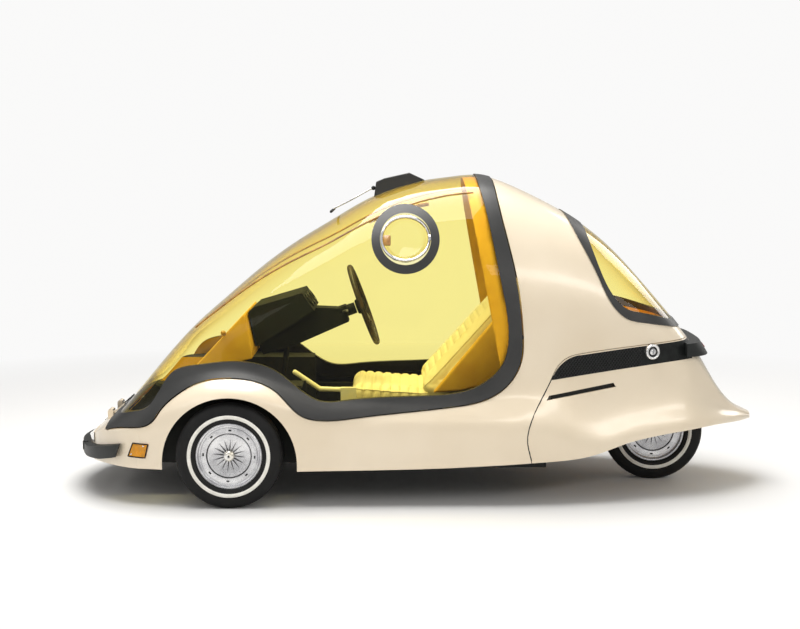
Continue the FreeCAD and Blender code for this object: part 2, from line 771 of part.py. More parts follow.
def make_seat():
    """Plain solids of the seat cushion and the reclined backrest, and the base under them."""
    cushion = rounded_box(cushion_back_x - cushion_front_x, 2 * seat_half, cushion_thickness, seat_corner)
    cushion.translate(Vector(cushion_front_x, -seat_half, cushion_top_z - cushion_thickness))
    back = rounded_box(back_thickness, 2 * seat_half, back_length, seat_corner)
    board = box((back_thickness + seat_gap, seat_corner, -back_length),
                (back_thickness + seat_gap + back_board, 2 * seat_half - seat_corner, back_length))
    start = Vector(cushion_back_x + back_gap, -seat_half, cushion_top_z - back_sink)
    for piece in (back, board):
        piece.rotate(Vector(0, 0, 0), Vector(0, 1, 0), 90 - back_angle)
        piece.translate(start)
    base_low = floor_z + tub_wall + seat_gap
    base_top = cushion_top_z - cushion_thickness - seat_gap
    base = box((cushion_front_x + seat_corner, -seat_half + seat_corner, base_low),
               (cushion_back_x + seat_corner, seat_half - seat_corner, base_top))
    room = box((cushion_front_x, -seat_half, base_low), (cabin_back_x - tub_wall, seat_half, shelf_z))
    return cushion, back, base.fuse(board.common(room)).removeSplitter()


def make_steering_wheel():
    """Rim, two spokes and hub, turned to the column's slope."""
    ring = Part.makeTorus(steering_radius, steering_rim_radius)
    hub = Part.makeCylinder(steering_hub_radius, steering_hub_depth, Vector(0, 0, -steering_hub_depth))
    solids = [ring, hub]
    for side in (-1, 1):
        start = Vector(0, 0, -steering_hub_depth / 2)
        solids.append(rod(start, Vector(0, side * steering_radius, 0), steering_spoke_radius))
    solids.append(rod(Vector(0, 0, -steering_hub_depth / 2), Vector(-steering_radius, 0, 0),
                      steering_spoke_radius))
    solids.append(Part.makeCylinder(shaft_radius, shaft_length, Vector(0, 0, -steering_hub_depth - shaft_length)))
    wheel = fused(solids)
    wheel.rotate(Vector(0, 0, 0), Vector(0, 1, 0), 90 - column_angle)
    wheel.translate(Vector(steering_hub_x, 0, steering_hub_z))
    return wheel


def column_point(distance):
    """Point on the column's axis, a distance ahead of the wheel's centre."""
    slope = math.radians(column_angle)
    return Vector(steering_hub_x - distance * math.cos(slope), 0, steering_hub_z - distance * math.sin(slope))


def column_foot():
    """Lower end of the steering shaft, on the tub's floor."""
    return Vector(track_rod_x(), 0, floor_z + tub_wall + seat_gap + column_radius)


def make_column():
    """Column tube and the lower shaft that runs down to the rack."""
    start = column_point(steering_hub_depth + moving_gap)
    end = column_point(steering_hub_depth + column_length)
    foot = column_foot()
    tube = rod(start, end, column_radius)
    shaft = rod(end, foot, column_radius / 2)
    knuckle = Part.makeSphere(column_radius, end)
    block = Part.makeCylinder(column_radius, column_radius, Vector(foot.x, 0, foot.z - column_radius))
    bore_end = column_point(steering_hub_depth + shaft_length + moving_gap)
    bore = rod(column_point(0), bore_end, shaft_radius + shaft_clearance)
    return fused([tube, shaft, knuckle, block]).cut(bore)


def cross_block(shares, half_span):
    """Block over a straight side-view outline, to both sides of the middle."""
    face = Part.Face(Part.Wire(closed_edges(shares)))
    block = face.extrude(Vector(0, 2 * half_span, 0))
    block.translate(Vector(0, -half_span, 0))
    return block


def make_binnacle():
    """Wedge-shaped instrument housing, with the shroud that runs down under the column."""
    housing = cross_block(binnacle_shares, binnacle_half)
    shroud = cross_block(column_shroud_shares, shroud_half)
    bend = column_point(steering_hub_depth + column_length)
    column = rod(column_point(steering_hub_depth), column_point(2 * column_length), column_radius + seat_gap)
    shaft = rod(bend, column_foot(), column_radius / 2 + seat_gap)
    joint = Part.makeSphere(column_radius + seat_gap, bend)
    return housing.fuse(shroud).cut(column).cut(shaft).cut(joint).removeSplitter()


def make_rear_suspension():
    """Swing arm with the rear spindle, and the spring unit above it."""
    centre = wheel_centre(0)
    pivot = Vector(swing_pivot_x, 0, swing_pivot_z)
    span = Vector(0, swing_half, 0)
    solids = [rod(pivot.sub(span), pivot.add(span), swing_radius)]
    for side in (-1, 1):
        shift = Vector(0, side * (swing_half - swing_radius), 0)
        solids.append(rod(pivot.add(shift), centre.add(shift), swing_tube_radius))
    solids.append(rod(centre.sub(span), centre.add(span), spindle_radius))
    arm = fused(solids)
    return arm


def make_canopy_trim():
    """Housing on the roof and the wiper ahead of it."""
    face = Part.Face(Part.Wire(closed_edges(pod_shares)))
    pod = face.extrude(Vector(0, 2 * pod_half, 0))
    pod.translate(Vector(0, -pod_half, 0))
    pod = pod.cut(body_form(-seat_gap))
    pivot = Vector(along(wiper_root_shares[0]), 0, up(wiper_root_shares[1]))
    tip = Vector(along(wiper_tip_shares[0]), 0, up(wiper_tip_shares[1]))
    arm = rod(pivot, tip, wiper_radius)
    blade = rod(tip.sub(Vector(0, blade_half, 0)), tip.add(Vector(0, blade_half, 0)), blade_radius)
    return pod, fused([arm, blade])


def make_hinges():
    """Hinge bases on the nose and the lugs that carry the canopy on them."""
    bases = []
    lugs = []
    cheek = hinge_knuckle / 3
    frame_top = body_form(-frame_proud - seat_gap)
    leaf_top = body_form(-frame_proud - seat_gap - hinge_leaf)
    for side in (-1, 1):
        y = side * hinge_half
        solids = [cross_bore(hinge_x, hinge_z, hinge_pin_radius, y - hinge_knuckle, y + hinge_knuckle)]
        for way in (-1, 1):
            low = y + way * (hinge_knuckle - cheek / 2) - cheek / 2
            solids.append(cross_bore(hinge_x, hinge_z, hinge_radius, low, low + cheek))
            foot = (hinge_x - hinge_radius, low, hinge_z - hinge_drop)
            solids.append(box(foot, (hinge_x + hinge_radius, low + cheek, hinge_z)))
        bases.append(fused(solids).cut(body_form(-seat_gap)))
        lug_half = hinge_knuckle - cheek - moving_gap
        eye = cross_bore(hinge_x, hinge_z, hinge_radius, y - lug_half, y + lug_half)
        low = (hinge_x, y - lug_half, hinge_z - hinge_drop)
        strap = leaf_top.common(box(low, (hinge_x + hinge_reach, y + lug_half, hinge_z + hinge_drop)))
        gusset = box(low, (hinge_x + hinge_reach / 2, y + lug_half, hinge_z))
        bore_radius = hinge_pin_radius + kingpin_clearance
        bore = cross_bore(hinge_x, hinge_z, bore_radius, y - 2 * lug_half, y + 2 * lug_half)
        lugs.append(fused([eye, strap, gusset]).cut(frame_top).cut(bore))
    return Part.makeCompound(bases), Part.makeCompound(lugs)


def make_rear_frame():
    """Two rails from the cabin's rear wall that hold the swing arm's pivot between them."""
    inner = swing_half + seat_gap
    start = cabin_back_x + seat_gap
    end = swing_pivot_x + 2 * swing_radius
    solids = []
    for side in (-1, 1):
        y = sorted([side * inner, side * (inner + rail_half)])
        rail = box((start, y[0], rail_z), (end, y[1], rail_z + 2 * rail_half))
        plate = box((swing_pivot_x - 2 * swing_radius, y[0], rail_z),
                    (end, y[1], swing_pivot_z + 2 * swing_radius))
        solids.append(rail.fuse(plate))
    return Part.makeCompound(solids)


def make_rear_spring():
    """Spring unit from the swing arm up to the shelf over the rear wheel."""
    centre = wheel_centre(0)
    pivot = Vector(swing_pivot_x, 0, swing_pivot_z)
    foot = pivot.add(centre.sub(pivot).multiply(shock_foot_share))
    solids = []
    for side in (-1, 1):
        y = side * (swing_half - swing_radius)
        low = Vector(foot.x, y, foot.z)
        high = Vector(shock_top_x, y, shelf_z + shock_radius)
        shift = Vector(0, y, 0)
        arm = rod(pivot.add(shift), centre.add(shift), swing_tube_radius + seat_gap)
        room = box((swing_pivot_x, -half_width, 0), (centre.x, half_width, shelf_z))
        above = rod(low, high, shock_radius).common(room).cut(arm)
        solids.append(max(above.Solids, key=lambda solid: solid.Volume))
    return Part.makeCompound(solids)


def make_engine():
    """Engine and gearbox as one plain block, held between the frame rails."""
    low = (engine_front_x, -swing_half, engine_low_z)
    high = (engine_front_x + engine_length, swing_half, engine_low_z + engine_height)
    block = box(low, high)
    head_low = (engine_front_x, -engine_half, rail_z + 2 * rail_half + seat_gap)
    return block.fuse(box(head_low, (engine_front_x + engine_length, engine_half, high[2]))).removeSplitter()


def make_shelf():
    """Luggage shelf under the rear window, closing the cabin off from the engine."""
    slab = box((cabin_back_x - tub_wall, -half_width, shelf_z + seat_gap),
               (shelf_end_x, half_width, shelf_z + shelf_thickness))
    return slab.common(body_form(panel_wall + seat_gap, cut_overrun))


def make_bumpers():
    """Dark front bumper round the nose, and the bar across the tail."""
    band = side_block(closed_edges(bumper_shares))
    ring = nose_block(-bumper_thickness).cut(nose_block(-seat_gap))
    front = ring.common(band)
    rear_band = side_block(closed_edges(rear_bar_shares))
    rear = body_form(-rear_bar_proud).common(rear_band).cut(body_form(-seat_gap))
    return front, rear


def make_fuel_cap():
    """Filler cap in the left-hand vent panel."""
    disc = cross_bore(fuel_x, fuel_z, fuel_radius, -half_width, 0)
    return body_form(-fuel_proud).common(disc).cut(body_form(-seat_gap))


def make_pedals():
    """Two pedals on stalks from the footwell floor."""
    pads = []
    foot_z = floor_z + tub_wall + seat_gap
    for side in (-1, 1):
        y = side * pedal_y
        stalk = rod(Vector(pedal_x, y, foot_z), Vector(pedal_x, y, foot_z + pedal_height), pedal_rod_radius)
        pad = box((pedal_x - pedal_thickness, y - pedal_half, foot_z + pedal_height - 2 * pedal_half),
                  (pedal_x + pedal_thickness, y + pedal_half, foot_z + pedal_height + pedal_half))
        pads.append(stalk.fuse(pad).removeSplitter())
    return Part.makeCompound(pads)


def make_lever():
    """Bent hand brake lever on a block beside the seat."""
    points = [Vector(p.x, lever_y, p.z) for p in line_points(lever_shares)]
    solids = [ball_ended(a, b, lever_radius) for a, b in zip(points, points[1:])]
    end = points[-1]
    low = (end.x - lever_block_length / 2, lever_y - lever_block_half, floor_z + tub_wall + seat_gap)
    high = (end.x + lever_block_length / 2, lever_y + lever_block_half, end.z + lever_radius)
    return fused(solids + [box(low, high)])


def make_all():
    """Every piece by its name."""
    parts = make_panels()
    for side, name in ((-1, "left"), (1, "right")):
        centre = wheel_centre(side)
        parts["tyre_front_" + name] = make_tyre(centre)
        parts["rim_front_" + name] = make_rim(centre, side)
        parts["knuckle_" + name] = make_knuckle(side)
        parts["wishbones_" + name] = make_arms(side)
    parts["tyre_rear"] = make_tyre(wheel_centre(0))
    parts["rim_rear"] = make_rim(wheel_centre(0), -1, True)
    parts["front_subframe"] = make_front_subframe()
    parts["track_rod"] = make_track_rod()
    parts["rack_housing"] = make_rack_housing()
    parts["floor_tub"] = make_tub()
    parts["seat_cushion"], parts["seat_back"], parts["seat_base"] = make_seat()
    parts["steering_wheel"] = make_steering_wheel()
    parts["steering_column"] = make_column()
    parts["instrument_binnacle"] = make_binnacle()
    parts["pedals"] = make_pedals()
    parts["hand_brake"] = make_lever()
    parts["swing_arm"] = make_rear_suspension()
    parts["rear_springs"] = make_rear_spring()
    parts["rear_frame"] = make_rear_frame()
    parts["engine_block"] = make_engine()
    parts["luggage_shelf"] = make_shelf()
    parts["front_bumper"], parts["tail_bar"] = make_bumpers()
    parts["fuel_cap"] = make_fuel_cap()
    parts["roof_housing"], parts["wiper"] = make_canopy_trim()
    parts["hinge_bases"], parts["hinge_lugs"] = make_hinges()
    return parts


os.makedirs("parts", exist_ok=True)
for name, shape in make_all().items():
    print(name, shape.isValid(), len(shape.Solids), round(shape.Volume / 1e6, 2))
    shape.exportStep("parts/" + name + ".step")
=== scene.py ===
import json
import math

import bmesh
import bpy
from mathutils import Matrix, Vector
from mathutils.bvhtree import BVHTree


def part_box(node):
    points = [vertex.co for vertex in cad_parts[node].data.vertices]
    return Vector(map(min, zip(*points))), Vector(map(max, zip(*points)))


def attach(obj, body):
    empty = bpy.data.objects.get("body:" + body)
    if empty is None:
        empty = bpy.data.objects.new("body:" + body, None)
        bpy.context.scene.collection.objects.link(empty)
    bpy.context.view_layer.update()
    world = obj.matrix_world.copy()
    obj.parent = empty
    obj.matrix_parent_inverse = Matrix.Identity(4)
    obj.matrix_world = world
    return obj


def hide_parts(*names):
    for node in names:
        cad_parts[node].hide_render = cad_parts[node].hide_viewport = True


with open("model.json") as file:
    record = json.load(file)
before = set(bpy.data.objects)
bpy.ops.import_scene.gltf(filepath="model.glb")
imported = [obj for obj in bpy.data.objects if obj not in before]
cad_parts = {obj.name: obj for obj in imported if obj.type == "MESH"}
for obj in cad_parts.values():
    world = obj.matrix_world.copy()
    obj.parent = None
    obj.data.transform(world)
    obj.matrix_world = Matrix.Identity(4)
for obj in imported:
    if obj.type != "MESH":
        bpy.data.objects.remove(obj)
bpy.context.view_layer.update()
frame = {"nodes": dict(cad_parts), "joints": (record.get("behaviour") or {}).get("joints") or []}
nodes = frame["nodes"]

# Bubble microcar with a tilting amber canopy. Metres, nose to -X, the driver's
# left side is -Y and the floor is at Z = 0.

# Points nearer than this are one point, and the same for turned and packed surfaces
weld = 1e-6
turned_weld = 1e-5

# Camera: what the photograph's view needs
photo_width = 800
focal_pixels = 1535.0
camera_place = (-0.0765, -7.08, 1.53)
camera_pitch = 6.16
sensor_width = 36.0

# Colours, as linear red, green and blue
champagne = (0.775, 0.660, 0.495, 1)
champagne_deep = (0.73, 0.61, 0.440, 1)
graphite = (0.022, 0.0225, 0.022, 1)
graphite_light = (0.033, 0.0325, 0.032, 1)
ink_black = (0.006, 0.0065, 0.0065, 1)
soft_black = (0.012, 0.014, 0.013, 1)
dash_green = (0.006, 0.010, 0.010, 1)
wire_light = (0.018, 0.018, 0.019, 1)
wire_dark = (0.010, 0.010, 0.010, 1)
rim_brown = (0.050, 0.028, 0.012, 1)
# Darker metal of the wheel's ribs: painted shade along the fins
rib_shade_grey = (0.16, 0.16, 0.165, 1)
rib_shade_deep = (0.10, 0.10, 0.10, 1)
cast_grey = (0.22, 0.22, 0.22, 1)
chrome_white = (0.86, 0.85, 0.83, 1)
rubber_black = (0.005, 0.005, 0.0053, 1)
rubber_worn = (0.012, 0.0117, 0.0115, 1)
chalk_white = (0.82, 0.80, 0.74, 1)
chalk_shade = (0.70, 0.68, 0.62, 1)
cream_leather = (0.93, 0.86, 0.62, 1)
cream_shade = (0.88, 0.77, 0.46, 1)
thread_tan = (0.46, 0.34, 0.15, 1)
silver = (0.74, 0.74, 0.75, 1)
silver_shade = (0.52, 0.52, 0.54, 1)
brass_bright = (0.80, 0.72, 0.52, 1)
steel_grey = (0.35, 0.35, 0.36, 1)
amber_face = (0.994, 0.968, 0.740, 1)
amber_edge = (0.970, 0.790, 0.270, 1)
# How far the glazing turns to its edge colour where it is seen along its face
edge_share = 0.62
amber_lens = (0.68, 0.27, 0.002, 1)
amber_deep = (0.52, 0.22, 0.01, 1)
clear_lens = (0.80, 0.80, 0.78, 1)
lens_shade = (0.62, 0.62, 0.60, 1)
lens_red = (0.42, 0.012, 0.010, 1)
lens_red_deep = (0.30, 0.008, 0.008, 1)
seam_brown = (0.26, 0.12, 0.03, 1)
seam_amber = (0.50, 0.26, 0.05, 1)
lining_tan = (0.78, 0.46, 0.035, 1)
lining_deep = (0.68, 0.37, 0.025, 1)
floor_white = (0.64, 0.636, 0.628, 1)

backdrop_white = (0.955, 0.952, 0.948, 1)
fade_start = 2.3
fade_end = 5.0

pearl_light = (0.95, 0.90, 0.80, 1)
# Painted warm shade, mixed into the paint in patches low on the body
warm_low_shade = (0.52, 0.44, 0.33, 1)

# Middle of the body: painted faces that look towards it carry a dark undercoat
body_middle = (0.3, 0.0, 0.20)
# Behind this place the inside of the body is trimmed in tan
trim_start = 0.50
# Ahead of this place the inside of the nose and of the canopy's band is trimmed in tan
nose_trim_end = -0.90


def feed(tree, node, values):
    """Fills a node's inputs by name or number: sockets are linked, other values are set."""
    for key, value in values.items():
        if isinstance(value, bpy.types.NodeSocket):
            tree.links.new(value, node.inputs[key])
        elif value is not None:
            node.inputs[key].default_value = value
    return node


def add_node(tree, kind, **values):
    """Adds a node and fills its inputs, with _ for a space in their names."""
    return feed(tree, tree.nodes.new(kind), {key.replace("_", " "): values[key] for key in values})


def sum_node(tree, kind, operation, first, second=None):
    """One sum on two values or sockets."""
    node = tree.nodes.new(kind)
    node.operation = operation
    return feed(tree, node, {0: first, 1: second})


def math_node(tree, operation, first, second=None):
    """One sum on two numbers or their sockets."""
    return sum_node(tree, "ShaderNodeMath", operation, first, second).outputs[0]


def vector_node(tree, operation, first, second=None, result=0):
    """One sum on two vectors or their sockets."""
    return sum_node(tree, "ShaderNodeVectorMath", operation, first, second).outputs[result]


def shader_tree(name):
    """New material with its node tree and its main shader."""
    material = bpy.data.materials.new(name)
    material.use_nodes = True
    return material, material.node_tree, material.node_tree.nodes["Principled BSDF"]


def object_coords(tree):
    """The object-space position, which never slides on a piece."""
    return add_node(tree, "ShaderNodeTexCoord").outputs["Object"]


def one_axis(tree, place, axis):
    """One coordinate of a position."""
    return add_node(tree, "ShaderNodeSeparateXYZ", Vector=place).outputs[axis]


def noise(tree, place, scale, detail=4.0, rough=0.55):
    """Fractal noise at a scale per metre."""
    return add_node(tree, "ShaderNodeTexNoise", Scale=scale, Detail=detail, Roughness=rough,
                    Vector=place).outputs["Fac"]


def cells(tree, place, scale):
    """Distance from the middle of the nearest cell at a scale per metre."""
    return add_node(tree, "ShaderNodeTexVoronoi", Scale=scale, Vector=place).outputs["Distance"]


def ramp_value(tree, source, low, high, out_low=0.0, out_high=1.0):
    """Maps a value from one range to another, held at its ends."""
    return add_node(tree, "ShaderNodeMapRange", Value=source, From_Min=low, From_Max=high, To_Min=out_low,
                    To_Max=out_high).outputs["Result"]


def mix_colours(tree, factor, first, second):
    """Blend of two colours, or of two colour sockets."""
    node = tree.nodes.new("ShaderNodeMix")
    node.data_type = "RGBA"
    return feed(tree, node, {"Factor": factor, 6: first, 7: second}).outputs[2]


def blend_shaders(tree, share, first, second):
    """Makes the material a blend of two shaders."""
    both = feed(tree, tree.nodes.new("ShaderNodeMixShader"),
                {0: share, 1: first.outputs[0], 2: second.outputs[0]})
    feed(tree, tree.nodes["Material Output"], {"Surface": both.outputs[0]})


def bump(tree, height, strength, distance):
    """Normal of a bump from a height socket, in metres."""
    return add_node(tree, "ShaderNodeBump", Strength=strength, Distance=distance,
                    Height=height).outputs["Normal"]


def inward_share(tree, place):
    """1 on faces that look in towards the middle of the body, 0 on those that look out."""
    away = vector_node(tree, "SUBTRACT", place, body_middle)
    flat = vector_node(tree, "MULTIPLY", away, (0.15, 1.0, 1.0))
    normal = add_node(tree, "ShaderNodeTexCoord").outputs["Normal"]
    facing = vector_node(tree, "DOT_PRODUCT", vector_node(tree, "NORMALIZE", flat), normal, "Value")
    return ramp_value(tree, facing, -0.32, -0.26, 1.0, 0.0)


def solid_finish(name, colour, other, roughness, patch, grain, depth, metallic=0.0, coat=0.0,
                 coat_roughness=0.05, shine=0.5, trimmed=False):
    """Finish with slow colour changes, a grain of its own scale, and wiped roughness."""
    material, tree, shader = shader_tree(name)
    place = object_coords(tree)
    slow = ramp_value(tree, noise(tree, place, patch, 3.0), 0.35, 0.65)
    mixed = mix_colours(tree, slow, colour, other)
    if trimmed:
        ahead = ramp_value(tree, one_axis(tree, place, "X"), nose_trim_end - 0.01, nose_trim_end, 1.0, 0.0)
        inner = math_node(tree, "MULTIPLY", ahead, inward_share(tree, place))
        mixed = mix_colours(tree, inner, mixed, lining_tan)
    fine = noise(tree, place, grain, 5.0, 0.6)
    spread = ramp_value(tree, fine, 0.3, 0.7, roughness * 0.85, min(1.0, roughness * 1.15))
    feed(tree, shader, {"Base Color": mixed, "Roughness": spread, "Specular IOR Level": shine,
                        "Metallic": metallic, "Coat Weight": coat, "Coat Roughness": coat_roughness,
                        "Normal": bump(tree, fine, 0.35, depth)})
    return material


def paint_finish():
    """Pale gold pearl: fine flakes under a clear coat, with painted warm shade in patches low down."""
    material, tree, shader = shader_tree("pearl_paint")
    place = object_coords(tree)
    glint = ramp_value(tree, cells(tree, place, 900.0), 0.1, 0.6)
    slow = ramp_value(tree, noise(tree, place, 2.5, 2.0), 0.35, 0.65)
    base = mix_colours(tree, slow, champagne, champagne_deep)
    pearl = mix_colours(tree, math_node(tree, "MULTIPLY", glint, 0.10), base, pearl_light)
    # Painted shade: in patches the paint turns darker and warmer towards the bottom
    low = ramp_value(tree, one_axis(tree, place, "Z"), 0.12, 0.32, 0.20, 0.0)
    outer = mix_colours(tree, math_node(tree, "MULTIPLY", low, noise(tree, place, 14.0)), pearl, warm_low_shade)
    behind = ramp_value(tree, one_axis(tree, place, "X"), trim_start, trim_start + 0.01)
    inner = mix_colours(tree, behind, ink_black, lining_tan)
    wiped = ramp_value(tree, noise(tree, place, 30.0), 0.3, 0.7, 0.30, 0.40)
    orange_peel = noise(tree, place, 160.0, 2.0)
    feed(tree, shader, {"Base Color": mix_colours(tree, inward_share(tree, place), outer, inner),
                        "Roughness": wiped, "Metallic": 0.12, "Coat Weight": 0.9, "Coat Roughness": 0.15,
                        "Normal": bump(tree, orange_peel, 0.12, 0.0004)})
    return material


def glazing_finish(name, face, edge, mirror=1.0):
    """Tinted clear glazing, deeper in colour where it is seen at a slant."""
    material, tree, shader = shader_tree(name)
    tree.nodes.remove(shader)
    slant = add_node(tree, "ShaderNodeLayerWeight", Blend=0.5).outputs["Facing"]
    depth = math_node(tree, "MULTIPLY", math_node(tree, "POWER", slant, 1.8), edge_share)
    clear = add_node(tree, "ShaderNodeBsdfTransparent", Color=mix_colours(tree, depth, face, edge))
    gloss = add_node(tree, "ShaderNodeBsdfGlossy", Roughness=0.02, Color=(1, 1, 1, 1))
    steep = math_node(tree, "MULTIPLY", math_node(tree, "POWER", slant, 3.5), 0.95 * mirror)
    inside = add_node(tree, "ShaderNodeNewGeometry").outputs["Backfacing"]
    outside = math_node(tree, "SUBTRACT", 1.0, inside)
    ripple = ramp_value(tree, noise(tree, object_coords(tree), 3.0, 2.0), 0.3, 0.7, 0.85, 1.0)
    share = math_node(tree, "MULTIPLY", math_node(tree, "ADD", steep, 0.014 * mirror), outside)
    blend_shaders(tree, math_node(tree, "MULTIPLY", share, ripple), clear, gloss)
    return material


def leather_finish():
    """Cream seat leather with a pebbled grain, darker in its folds."""
    material, tree, shader = shader_tree("cream_leather")
    place = object_coords(tree)
    slow = ramp_value(tree, noise(tree, place, 9.0, 4.0), 0.3, 0.7)
    creases = noise(tree, place, 60.0, 6.0)
    height = math_node(tree, "ADD", cells(tree, place, 420.0), math_node(tree, "MULTIPLY", creases, 0.8))
    feed(tree, shader, {"Base Color": mix_colours(tree, slow, cream_leather, cream_shade),
                        "Roughness": ramp_value(tree, creases, 0.3, 0.7, 0.42, 0.58), "Coat Weight": 0.15,
                        "Coat Roughness": 0.3, "Normal": bump(tree, height, 0.5, 0.0006)})
    return material


def rubber_finish():
    """Tyre rubber in random patches of greyer, worn rubber."""
    material, tree, shader = shader_tree("tyre_black")
    place = object_coords(tree)
    patch = ramp_value(tree, noise(tree, place, 22.0, 5.0), 0.35, 0.7)
    feed(tree, shader, {"Base Color": mix_colours(tree, patch, rubber_black, rubber_worn),
                        "Roughness": ramp_value(tree, patch, 0.0, 1.0, 0.46, 0.66),
                        "Specular IOR Level": 0.22,
                        "Normal": bump(tree, noise(tree, place, 500.0, 4.0), 0.4, 0.0004)})
    return material


def brushed_finish(name, colour, other, roughness):
    """Bright metal with a fine turned grain."""
    material, tree, shader = shader_tree(name)
    place = object_coords(tree)
    wave = noise(tree, place, 260.0, 6.0, 0.7)
    slow = ramp_value(tree, noise(tree, place, 18.0), 0.35, 0.65)
    feed(tree, shader, {"Base Color": mix_colours(tree, slow, colour, other), "Metallic": 0.92,
                        "Roughness": ramp_value(tree, wave, 0.3, 0.7, roughness * 0.7, roughness * 1.3),
                        "Normal": bump(tree, wave, 0.2, 0.0002)})
    return material


# Solid finishes: name, two colours, roughness, scales of the patches and the grain, depth of the grain,
# then what else a finish has
solid_finishes = {
    "graphite": (("satin_graphite", graphite, graphite_light, 0.44, 5.0, 380.0, 0.0003),
                 {"coat": 0.05, "coat_roughness": 0.3, "shine": 0.4, "trimmed": True}),
    "bumper": (("bumper_black", ink_black, soft_black, 0.45, 8.0, 520.0, 0.0004), {"shine": 0.35}),
    "black": (("black_lining", ink_black, soft_black, 0.6, 12.0, 700.0, 0.0005), {"shine": 0.25}),
    "tub": (("tub_lining", ink_black, soft_black, 0.6, 12.0, 700.0, 0.0005),
            {"shine": 0.25, "trimmed": True}),
    "dash": (("dash_moulding", dash_green, ink_black, 0.72, 10.0, 620.0, 0.0004), {"shine": 0.25}),
    "steel": (("black_steel", ink_black, soft_black, 0.4, 20.0, 240.0, 0.0004), {"metallic": 0.2}),
    "engine": (("cast_alloy", steel_grey, cast_grey, 0.6, 30.0, 160.0, 0.001), {"metallic": 0.6}),
    "amber": (("amber_lens", amber_lens, amber_deep, 0.25, 40.0, 90.0, 0.0003),
              {"coat": 0.2, "shine": 0.3}),
    "lens": (("clear_lens", clear_lens, lens_shade, 0.12, 40.0, 60.0, 0.0004),
             {"metallic": 0.35, "coat": 1.0}),
    "red": (("red_lens", lens_red, lens_red_deep, 0.2, 40.0, 90.0, 0.0003), {"coat": 1.0}),
    "tan": (("tan_lining", lining_tan, lining_deep, 0.6, 9.0, 420.0, 0.0005), {}),
    "cream": (("cream_moulding", cream_leather, chalk_white, 0.35, 12.0, 300.0, 0.0002), {"coat": 0.3}),
    "white_ring": (("tyre_white", chalk_white, chalk_shade, 0.55, 30.0, 400.0, 0.0003), {}),
    "mesh": (("vent_wire", ink_black, soft_black, 0.5, 30.0, 300.0, 0.0003), {"shine": 0.2}),
    "seam": (("amber_seam", seam_brown, seam_amber, 0.3, 30.0, 200.0, 0.0002), {"coat": 0.6}),
    "thread": (("tan_thread", thread_tan, cream_shade, 0.8, 60.0, 900.0, 0.0003), {}),
    "wire": (("woven_wire", wire_light, wire_dark, 0.4, 60.0, 300.0, 0.0002), {"metallic": 0.3}),
    "leather_dark": (("rim_leather", rim_brown, ink_black, 0.5, 30.0, 420.0, 0.0005), {}),
}
# Brushed finishes: name, two colours, roughness
brushed_finishes = {
    "bare": ("bare_steel", steel_grey, silver_shade, 0.35),
    "alloy": ("wheel_silver", silver, silver_shade, 0.30),
    "chrome": ("bright_trim", chrome_white, silver, 0.08),
    "brass": ("hub_bright", brass_bright, silver, 0.16),
    "rib": ("rib_painted_shade", rib_shade_grey, rib_shade_deep, 0.3),
}


def make_finishes():
    """Every material of the car by its name."""
    made = {"paint": paint_finish(), "glass": glazing_finish("amber_glazing", amber_face, amber_edge),
            "leather": leather_finish(), "rubber": rubber_finish()}
    made.update({key: solid_finish(*values, **more) for key, (values, more) in solid_finishes.items()})
    made.update({key: brushed_finish(*values) for key, values in brushed_finishes.items()})
    return made


finishes = make_finishes()


def link(mesh, name, material=None):
    """Object for a mesh, at the origin, with one material if one is given."""
    piece = bpy.data.objects.new(name, mesh)
    bpy.context.scene.collection.objects.link(piece)
    if material is not None:
        mesh.materials.clear()
        mesh.materials.append(finishes[material])
    return piece


def from_sheet(work, name, material=None):
    """Turns a bmesh into an object as it is."""
    mesh = bpy.data.meshes.new(name)
    work.to_mesh(mesh)
    work.free()
    return link(mesh, name, material)


def shaded(piece, smooth=True):
    """Sets smooth or flat shading on a whole piece."""
    for polygon in piece.data.polygons:
        polygon.use_smooth = smooth
    return piece


def from_bmesh(work, name, material, smooth=True):
    """Turns a bmesh into an object with faces that point out."""
    bmesh.ops.remove_doubles(work, verts=work.verts, dist=weld)
    bmesh.ops.recalc_face_normals(work, faces=work.faces)
    return shaded(from_sheet(work, name, material), smooth)


def loft(rows, closed=True, caps=True):
    """Faces between rows of points, round each row where it is closed, with both ends capped."""
    work = bmesh.new()
    rows = [[work.verts.new(point) for point in row] for row in rows]
    for here, there in zip(rows, rows[1:]):
        for i in range(len(here) if closed else len(here) - 1):
            j = (i + 1) % len(here)
            work.faces.new([here[i], here[j], there[j], there[i]])
    if caps:
        work.faces.new(rows[0])
        work.faces.new(rows[-1])
    return work


def applied(piece):
    """Turns what a piece's modifiers make into its own plain mesh."""
    graph = bpy.context.evaluated_depsgraph_get()
    mesh = bpy.data.meshes.new_from_object(piece.evaluated_get(graph))
    piece.modifiers.clear()
    piece.data = mesh
    return piece


def sharpen(piece, degrees=35.0):
    """Keeps edges sharper than an angle crisp under smooth shading."""
    limit = math.radians(degrees)
    work = bmesh.new()
    work.from_mesh(piece.data)
    for edge in work.edges:
        edge.smooth = not (len(edge.link_faces) == 2 and edge.calc_face_angle(0.0) > limit)
    work.to_mesh(piece.data)
    work.free()
    return piece


def even(start, end, count):
    """Evenly spaced values from one to another, both counted in."""
    return [start + (end - start) * step / count for step in range(count + 1)]


def wear(piece, body):
    """Lets a finished piece ride on a body, through that body's empty."""
    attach(piece, body)
    return piece


def lathe(profile, centre, name, material, segments=96):
    """Turned piece about the direction across the car, from a closed (across, radius) profile."""
    rings = []
    for step in range(segments + 1):
        angle = 2 * math.pi * step / segments
        rings.append([(centre[0] + r * math.sin(angle), centre[1] + y, centre[2] + r * math.cos(angle))
                      for y, r in profile])
    work = loft(rings, caps=False)
    bmesh.ops.remove_doubles(work, verts=work.verts, dist=turned_weld)
    return from_bmesh(work, name, material)


